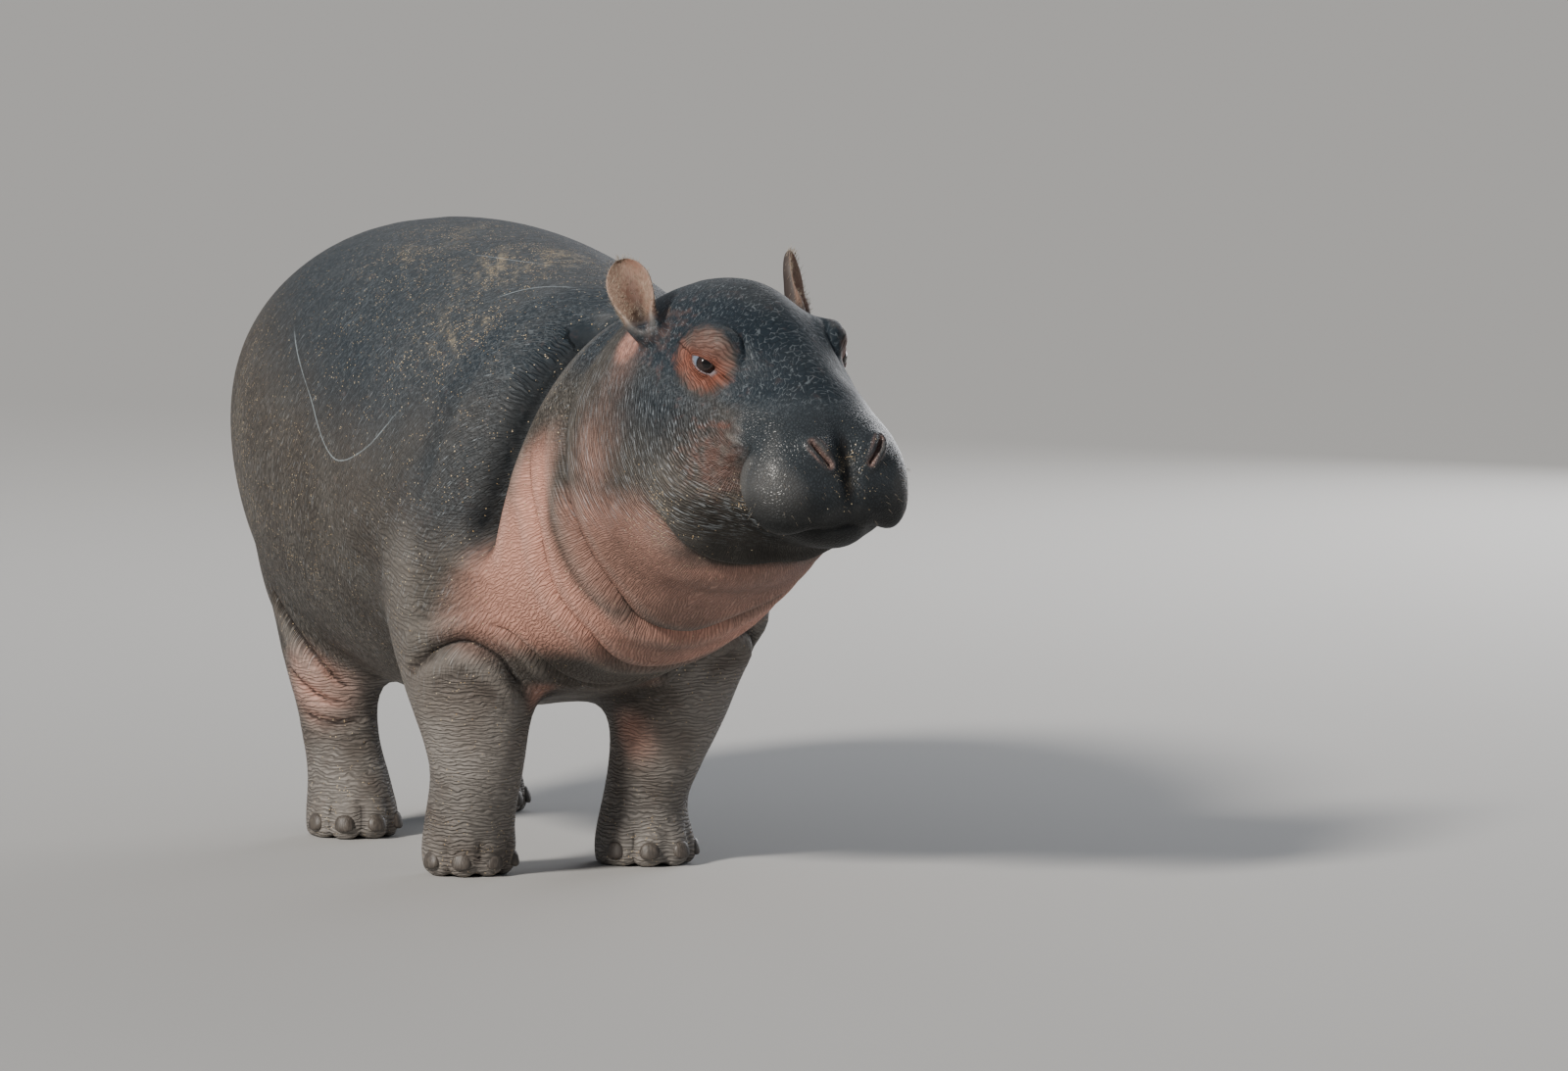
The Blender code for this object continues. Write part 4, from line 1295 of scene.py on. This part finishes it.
SCRATCH_PALE, WET_RIM = (0.38, 0.44, 0.47, 1), (0.30, 0.29, 0.32, 1)

hide, tree, shader = new_material("hide")


def maths(operation, first, second=0.0, third=0.0):
    """One step of arithmetic on up to three values."""
    return put("Math", {"operation": operation}, _0=first, _1=second, _2=third)


def times(product, *factors):
    """The product of all of them."""
    for factor in factors:
        product = maths("MULTIPLY", product, factor)
    return product


def greatest(most, *others):
    """The greatest of all of them."""
    for other in others:
        most = maths("MAXIMUM", most, other)
    return most


def scaled(value, factor, more):
    """Value times factor, and more."""
    return maths("MULTIPLY_ADD", value, factor, more)


def unless(share):
    """What the share leaves of 1."""
    return maths("SUBTRACT", 1.0, share)


def mixed(share, first, second):
    """The first value, moved toward the second by the share."""
    return put("Mix", _0=share, _2=first, _3=second)


def kept(name, vector=False):
    """What was kept on the skin's points under that name."""
    return put("Attribute", {"attribute_name": name}, 1 if vector else 2)


def placed(vector, run, turn=0.0):
    """The place after a turn about its third axis, in runs of that many millimetres on each axis."""
    turned = put("VectorRotate", {"rotation_type": "Z_AXIS"}, _0=vector, Angle=turn)
    return moved("MULTIPLY", turned, _1=tuple(MM / length for length in run))


def creases(vector, wander):
    """Distance to the nearest crease of a Voronoi net in places bent by noise."""
    bend = moved("SUBTRACT", noise(vector, 0.33, 1.0, out=1), _1=(0.5, 0.5, 0.5))
    bend = moved("ADD", vector, _1=moved("SCALE", bend, Scale=wander * 2.0))
    return put("TexVoronoi", {"feature": "DISTANCE_TO_EDGE"}, Vector=bend, Scale=1.0)


def ribs(vector, wander=0.9, wide=0.62):
    """Wavy ribs along the second axis, one to each unit of the first, now and then run together."""
    wave = noise(moved("MULTIPLY", vector, _1=(0.33, 1.0, 1.0)), 1.0)
    across = scaled(maths("SUBTRACT", wave, 0.5), wander * 4.0, put("SeparateXYZ", _0=vector))
    gap = times(maths("PINGPONG", across, 0.5), 2.0)
    parted = between(creases(vector, 0.9), 0.0, 0.16, 0.45, 1.0)
    return times(between(gap, 0.0, wide), parted)


def streaks(vector, low, high):
    """Thin broken lines along the second axis: where a noise in stretched places is high."""
    return between(noise(vector, 1.0), low, high)


barrel, neck, head, local = (kept(name + "_lie", True) for name in ("barrel", "neck", "head", "local"))
up_forward = creases(placed(barrel, (2.6, 13.0, 13.0), LEAN), 0.8)
down_forward = creases(placed(barrel, (3.2, 11.0, 12.0), -LEAN * 1.3), 0.8)
over_head = creases(placed(head, (1.9, 7.0, 7.0)), 1.1)
on_barrel = times(between(up_forward, 0.0, 0.20), between(down_forward, 0.0, 0.16, 0.55, 1.0))
low_shoulder = ribs(placed(barrel, (4.4, 22.0, 22.0), math.radians(110)), 0.9, 0.6)
on_barrel = mixed(times(kept("shoulder"), 0.85), on_barrel, low_shoulder)
on_neck = ribs(placed(neck, (3.0, 15.0, 15.0), 0.2))
on_cheek = ribs(placed(kept("cheek_lie", True), (2.7, 16.0, 16.0)), 0.7)
locally = ribs(local)
local_share, neck_share, cheek_share = kept("local_share"), kept("neck_share"), kept("cheek_share")
net = mixed(kept("head_share"), on_barrel, between(over_head, 0.0, 0.24))
net = mixed(cheek_share, net, on_cheek)
net = mixed(neck_share, net, on_neck)
net = mixed(local_share, net, locally)
net = mixed(greatest(kept("calm"), kept("ears")), net, 0.72)
where = put("TexCoord", out=3)
pebbles = between(creases(moved("SCALE", where, Scale=MM / 2.9), 0.5), 0.0, 0.30)

broken = streaks(placed(head, (2.2, 4.0, 4.0)), 0.42, 0.62)
on_brow = times(between(over_head, 0.01, 0.085, 1.0, 0.0), broken)
barrel_streak = streaks(placed(barrel, (1.3, 12.0, 12.0), LEAN), 0.58, 0.72)
thin_net = times(between(up_forward, 0.01, 0.12, 1.0, 0.0), kept("slate"))
thin_cross = times(between(down_forward, 0.01, 0.08, 0.6, 0.0), kept("slate"))
thin_net = times(greatest(thin_net, thin_cross), between(broken, 0.0, 1.0, 0.35, 0.9))
on_body = greatest(times(barrel_streak, 0.8), thin_net)
pale_lines = mixed(kept("brow"), on_body, times(on_brow, 0.75))
cheek_streak = streaks(placed(kept("cheek_lie", True), (1.1, 9.0, 9.0)), 0.53, 0.65)
pale_lines = mixed(cheek_share, pale_lines, times(cheek_streak, 0.75))
elsewhere = greatest(neck_share, local_share, kept("ears"))
pale_lines = times(pale_lines, unless(elsewhere), unless(kept("muzzle")))

blotch, small = noise(where, 14.0, 4.0), noise(where, 260.0, 3.0)
slate, pink, rust, dark = kept("slate"), kept("pink"), kept("rust"), kept("dark")
muzzle, sand, crease, legs = kept("muzzle"), kept("sand"), kept("crease"), kept("legs")
ears, rim = kept("ears"), kept("rim")


def patchy(mask, amount=0.5):
    """A mask whose edge wanders with the blotches."""
    return between(maths("ADD", mask, scaled(blotch, amount, -amount / 2)), 0.12, 0.88)


shank = blended(between(blotch, 0.38, 0.62), SHANK, SHANK_PALE)
tone = blended(legs, blended(between(blotch, 0.35, 0.65), FLANK, FLANK_PALE), shank)
tone = blended(patchy(slate), tone, SLATE_BLUE)
tone = blended(patchy(pink, 0.45), tone, SALMON)
ragged = noise(where, 110.0, 5.0)
reddish = blended(between(kept("lid_height"), -0.15, 0.5), LOW_RED, HIGH_RED)
reddish = blended(times(kept("lid_near"), 0.75), reddish, LID_RED)
reddish = blended(between(ragged, 0.40, 0.62, 0.0, 0.45), reddish, SORE_BROWN)
spread = between(maths("ADD", rust, scaled(ragged, 1.5, -0.75)), 0.10, 1.0)
tone = blended(spread, tone, reddish)
tone = blended(ears, tone, EAR_BROWN)
tufts = streaks(moved("MULTIPLY", where, _1=(1500, 1500, 210)), 0.36, 0.70)
within = blended(tufts, BOWL_DARK, BOWL_PALE)
within = blended(between(blotch, 0.45, 0.62), within, BOWL_RED)
# Painted shade, deepest in the middle of the ear's bowl.
deep = times(kept("ear_bowl_shade"), scaled(ragged, 1.6, 0.10))
within = blended(between(deep, 0.05, 0.85, 0.0, 0.80), within, BOWL_SHADE)
tone = blended(times(kept("inside_ear"), ears), tone, within)
tone = blended(muzzle, tone, WET_GREY)
tone = blended(times(kept("nostril"), 0.85), tone, SLIT_PINK)
# Near black lips and jaw, with painted shade under the lip pads and chin and in the groove between the
# pads.
tone = blended(times(dark, 0.85), tone, LIP_BLACK_AND_SHADE)
# Thin pale lines screened over the tone: partly pale hairs and dust in the wrinkles, partly painted
# highlights on the fine ridges.
tone = blended(times(pale_lines, 0.44), tone, LINE_BLUE, "SCREEN")
# Painted shade: the creases of the wrinkles' net, and the gaps between the muzzle's pebbles, are darkened.
contrast = scaled(greatest(neck_share, times(legs, 0.7)), -0.36, 0.80)
shade = maths("ADD", times(maths("SUBTRACT", net, 1.0), contrast), 1.06)
shade = mixed(kept("muzzle"), shade, scaled(pebbles, 0.42, 0.62))
shade = times(shade, scaled(small, 0.5, 0.75))
tone = blended(1.0, tone, put("CombineColor", _0=shade, _1=shade, _2=shade), "MULTIPLY")
# Painted shade in the hollows and creases of the skin.
tone = blended(between(crease, 0.15, 1.0, 0.0, 0.72), tone, HOLLOW_SHADE)
# Painted shade along the shoulders' creases.
tone = blended(times(kept("slope"), 0.94), tone, FOLD_SHADE_BLACK)
# Paler on convex places, but not where the skin is near black.
paler_where_convex = times(between(crease, -0.15, -0.9, 0.0, 0.16), unless(dark))
tone = blended(paler_where_convex, tone, RIDGE_PALE)

drift = noise(placed(barrel, (60.0, 16.0, 16.0), 0.5), 1.0, 5.0)
dust = times(between(sand, 0.35, 1.30), between(drift, 0.46, 0.66))
dust = times(dust, between(small, 0.38, 0.60, 0.12, 0.80))
tone = blended(dust, tone, DUST)

lines = []
for name in SCRATCHES:
    parts = put("SeparateXYZ", _0=kept(name, True)).node.outputs
    gap = maths("ABSOLUTE", maths("ADD", parts[0], scaled(small, 0.8, -0.4)))
    worn = between(maths("ADD", blotch, times(small, 0.4)), 0.50, 0.80, 0.35, 1.0)
    lines.append(times(between(gap, 0.25, 0.95, 1.0, 0.0), parts[1], worn))
tone = blended(times(greatest(*lines), 0.62), tone, SCRATCH_PALE)

grains = put("TexVoronoi", {"feature": "F1"}, Vector=where, Scale=680.0).node.outputs
chance = put("SeparateColor", _0=grains["Color"]).node.outputs
clumps = noise(where, 70.0, 3.0)
wanted = unless(times(sand, between(clumps, 0.42, 0.62, 0.05, 0.90)))
size = scaled(chance[2], 0.40, 0.14)
near_grain = between(maths("SUBTRACT", grains["Distance"], size), 0.0, -0.10)
grain = times(maths("GREATER_THAN", chance[0], wanted), near_grain)
tone = blended(grain, tone, blended(chance[1], GRAIN_BROWN, GRAIN_PALE))
tone = blended(times(rim, 0.70), tone, WET_RIM)

pores = put("TexVoronoi", {"feature": "F1"}, Vector=where, Scale=430.0)
pores = scaled(pebbles, 1.3, between(pores, 0.08, 0.34))
depth = scaled(local_share, 0.30, scaled(neck_share, 0.05, 0.70))
height = times(net, times(depth, unless(times(muzzle, 0.85))))
for relief, tall in (
    (small, 0.10), (pale_lines, 0.10), (times(pores, muzzle), 0.22), (grain, 0.35), (blotch, 0.8),
):
    height = maths("ADD", height, times(relief, tall))

rough = scaled(net, -0.10, 0.62)
unlit = greatest(scaled(muzzle, -0.4, dark), kept("slope"))
for mask, more in ((muzzle, -0.29), (unlit, 0.30), (rim, -0.30), (grain, 0.25)):
    rough = scaled(mask, more, rough)
relief = put("Bump", Strength=1.0, Distance=0.001, Height=height)
plug(shader, Base_Color=tone, Normal=relief, Roughness=rough, Specular_IOR_Level=0.24)

skin.data.materials.clear()
skin.data.materials.append(hide)
skin.data.shade_smooth()
skin.name = "hide"
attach(skin, "root")
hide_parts(*flesh, "ear_left", "ear_right")


# ---------------------------------------------------------------- hair
# The hide is nearly bare: stiff pale bristles stand on the lip pads, a cream fringe lines the
# rims and bowls of the ears, and dark bristles edge the flat end of the tail.

BARREL_HALF = 0.60  # half the length over which the hide is unrolled for the hairs' patches
HAIR_RINGS, HAIR_SIDES = 5, 3
PALE_HAIR = (0.300, 0.235, 0.170, 1), (0.560, 0.480, 0.380, 1)
DARK_HAIR = (0.020, 0.016, 0.013, 1), (0.085, 0.066, 0.050, 1)

bristle, tree, shader = new_material("bristle")
mottled = between(noise(put("TexCoord", out=3), 240.0), 0.35, 0.65)
darkness = put("Attribute", {"attribute_name": "darkness"}, 2)
tone = blended(darkness, blended(mottled, *PALE_HAIR), blended(mottled, *DARK_HAIR))
plug(shader, Base_Color=tone, Roughness=0.55)

chance_of = np.random.default_rng(11)
squares = (np.diff(points[edges], axis=1)[:, 0] ** 2).sum(1)
ground = np.bincount(edges.ravel(), np.repeat(squares, 2), len(points))
ground /= np.bincount(edges.ravel(), minlength=len(points))  # grows with the area round a point


def hairs(name, weights, number, way, droop, length, thick, darkness):
    """Bent, tapering, three-sided hairs, closed at both ends, rooted on the skin by the weights.

    A hair runs root + length * (way * t + droop * t^2) for t from 0 to 1, and its thickness
    falls as (1.02 - t)^0.6. Its patch in the unwrap is about 0.002 across, at the place of
    its root on the hide unrolled round the barrel.
    """
    weights = weights * ground
    picks = chance_of.choice(len(points), number, p=weights / weights.sum())
    jitter = chance_of.normal(0, 0.0016, (number, 3))
    out = normals[picks]
    jitter -= (jitter * out).sum(1)[:, None] * out
    root = points[picks] + jitter - 0.0008 * out
    way = way[picks] + chance_of.normal(0, 0.16, (number, 3))
    way /= np.linalg.norm(way, axis=1)[:, None]
    long = chance_of.uniform(*length, number)[:, None, None]
    t = np.linspace(0, 1, HAIR_RINGS)[None, :, None]
    line = root[:, None] + long * (way[:, None] * t + droop * t ** 2)
    along = way[:, None] + 2 * droop * t
    side_way = np.cross(along, (0.31, 0.52, 0.79))
    side_way /= np.linalg.norm(side_way, axis=2)[..., None]
    other_way = np.cross(along, side_way)
    other_way /= np.linalg.norm(other_way, axis=2)[..., None]
    width = (thick * (1.02 - t) ** 0.6)[..., None]
    turn = np.arange(HAIR_SIDES)[None, None, :, None] * 2 * np.pi / HAIR_SIDES
    spread = np.cos(turn) * side_way[:, :, None] + np.sin(turn) * other_way[:, :, None]
    tube = line[:, :, None] + width * spread
    hair, row, column = np.meshgrid(
        np.arange(number), np.arange(HAIR_RINGS - 1), np.arange(HAIR_SIDES), indexing="ij"
    )
    after = (column + 1) % HAIR_SIDES
    in_one = HAIR_RINGS * HAIR_SIDES
    base = hair * in_one + row * HAIR_SIDES
    above = base + HAIR_SIDES
    quads = np.stack([base + column, base + after, above + after, above + column], -1)
    first, ring = np.arange(number)[:, None] * in_one, np.arange(HAIR_SIDES)
    ends = np.concatenate([first + ring[::-1], first + in_one - HAIR_SIDES + ring])
    mesh = bpy.data.meshes.new(name)
    mesh.from_pydata(tube.reshape(-1, 3).tolist(), [], quads.reshape(-1, 4).tolist() + ends.tolist())
    mesh.shade_smooth()
    unrolled = np.stack([
        0.5 + np.arctan2(root[:, 0], root[:, 2] - BARREL_AXIS) / (2 * np.pi),
        0.5 + root[:, 1] / (2 * BARREL_HALF),
    ], 1)
    patch_x, patch_y = np.arange(HAIR_SIDES)[None, :] * 0.0010, np.arange(HAIR_RINGS)[:, None] * 0.0006
    patch = np.stack(np.broadcast_arrays(patch_x, patch_y), -1)
    places = (unrolled[:, None, None] + patch[None]).reshape(-1, 2)
    corners = np.empty(len(mesh.loops), int)
    mesh.loops.foreach_get("vertex_index", corners)
    mesh.uv_layers.new(name="OFBake").data.foreach_set("uv", places[corners].ravel())
    shades = np.full(len(mesh.vertices), darkness)
    mesh.attributes.new("darkness", "FLOAT", "POINT").data.foreach_set("value", shades)
    made = added(name, mesh)
    made.data.materials.append(bristle)
    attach(made, "root")


hairs("lip_bristles", bristly, 90, normals + 0.25 * AHEAD - 0.35 * UP, -0.25 * UP,
      (0.004, 0.008), 0.00017, 0.45)
for side in SIDES:
    root, axes = ear_frame(side)
    spot = (points - root) @ axes
    here = (ear_skin > 0.5) * (np.linalg.norm(spot, axis=1) < 0.09)
    brim = here * np.maximum(ramp(np.abs(spot[:, 0]), 0.0115, 0.0150), ramp(spot[:, 2], 0.054, 0.061))
    outer_edge = ramp(SIDES[side] * spot[:, 0], 0.0, 0.01) * (1 - ramp(spot[:, 2], 0.02, 0.05))
    brim = brim * (0.35 + outer_edge)
    fan_way = np.stack([spot[:, 0], -0.010 + 0 * spot[:, 1], 0.5 * (spot[:, 2] - 0.020)], 1)
    fan_way /= np.linalg.norm(fan_way, axis=1)[:, None]
    hairs("ear_fringe_" + side, brim, 420, (0.7 * fan_way + (0, -0.5, 0.5)) @ axes.T, 0.10 * UP,
          (0.0025, 0.0055), 0.00018, 0.1)
    bowl = here * inside_ear * (1 - ramp(np.abs(spot[:, 0]), 0.012, 0.016)) * ramp(spot[:, 2], 0.008, 0.02)
    up_way = normals + 0.9 * axes[:, 2] - 0.3 * np.sign(spot[:, :1]) * axes[:, 0]
    hairs("ear_bowl_" + side, bowl, 260, up_way, 0.10 * UP, (0.0030, 0.0060), 0.00018, 0.15)
length = np.linalg.norm(np.array(laid[-1]) - laid[3])
down_tail = ((points - laid[3]) @ (np.array(laid[-1]) - laid[3])) / length
on_tail = (points[:, 1] > 0.49) * (np.abs(x - tail_mid) < 0.030) * ramp(down_tail, 0.02, 0.06)
sides_of_tail = ramp(np.abs(x - tail_mid), 0.010, 0.016) + ramp(down_tail, 0.095, 0.105)
down_way = np.stack([0.8 * np.sign(x - tail_mid), 0.3 + 0 * x, -0.9 + 0 * x], 1)
hairs("tail_bristles", on_tail * sides_of_tail * (normals[:, 1] > -0.3), 240, down_way, -0.35 * UP,
      (0.008, 0.018), 0.00030, 0.9)


# ---------------------------------------------------------------- floor, light and camera
# A plain pale studio floor under a low warm sun, ahead of the calf and to its right. A weak fill,
# a rim lamp and a lamp from behind light the shadows. A long lens looks on from far off.

AZIMUTH, ELEVATION = math.radians(-20), math.radians(5)
AIM = Vector((0.2373, 0.0153, 0.2927))
AWAY = Vector((
    math.sin(AZIMUTH) * math.cos(ELEVATION),
    -math.cos(AZIMUTH) * math.cos(ELEVATION),
    math.sin(ELEVATION),
))
DISTANCE = 14
LIT_AT = Vector((0, 0, 0.3))  # what the lamps are turned to
floor_mesh = bpy.data.meshes.new("floor")
floor_mesh.from_pydata([(-30, -30, 0), (30, -30, 0), (30, 30, 0), (-30, 30, 0)], [], [(0, 1, 2, 3)])
floor = added("floor", floor_mesh)
pale, tree, shader = new_material("pale_floor")
plug(shader, Base_Color=(0.47, 0.465, 0.455, 1), Roughness=0.8)
floor.data.materials.append(pale)

world = bpy.data.worlds.new("studio")
bpy.context.scene.world = world
world.use_nodes = True
plug(world.node_tree.nodes["Background"], Color=(0.80, 0.86, 0.95, 1), Strength=0.26)


def turned_from(name, data, back):
    """A new object of that name which looks or shines the opposite way to back."""
    made = added(name, data)
    made.rotation_mode = "QUATERNION"
    made.rotation_quaternion = back.to_track_quat("Z", "Y")
    return made


def lamp(name, place, power, size, colour):
    """A soft square lamp, turned to the calf."""
    light = bpy.data.lights.new(name, "AREA")
    light.energy = power
    light.size = size
    light.color = colour
    turned_from(name, light, Vector(place) - LIT_AT).location = place


sun = bpy.data.lights.new("key", "SUN")
sun.energy = 4.6
sun.angle = math.radians(9)
sun.color = (1.0, 0.95, 0.88)
turned_from("key", sun, Vector((-0.74, -0.48, 0.50)))
lamp("fill", (2.8, -3.0, 1.6), 4, 2.5, (0.88, 0.94, 1.0))
lamp("rim", (0.5, 3.2, 2.8), 9, 1.8, (0.92, 0.96, 1.0))
lamp("back", (3.0, 2.6, 1.5), 75, 2.5, (0.98, 0.98, 1.0))

lens = bpy.data.cameras.new("camera")
lens.lens = 350
lens.sensor_width = 36
lens.clip_end = 100
camera = turned_from("camera", lens, AWAY)
camera.location = AIM + AWAY * DISTANCE
bpy.context.scene.camera = camera
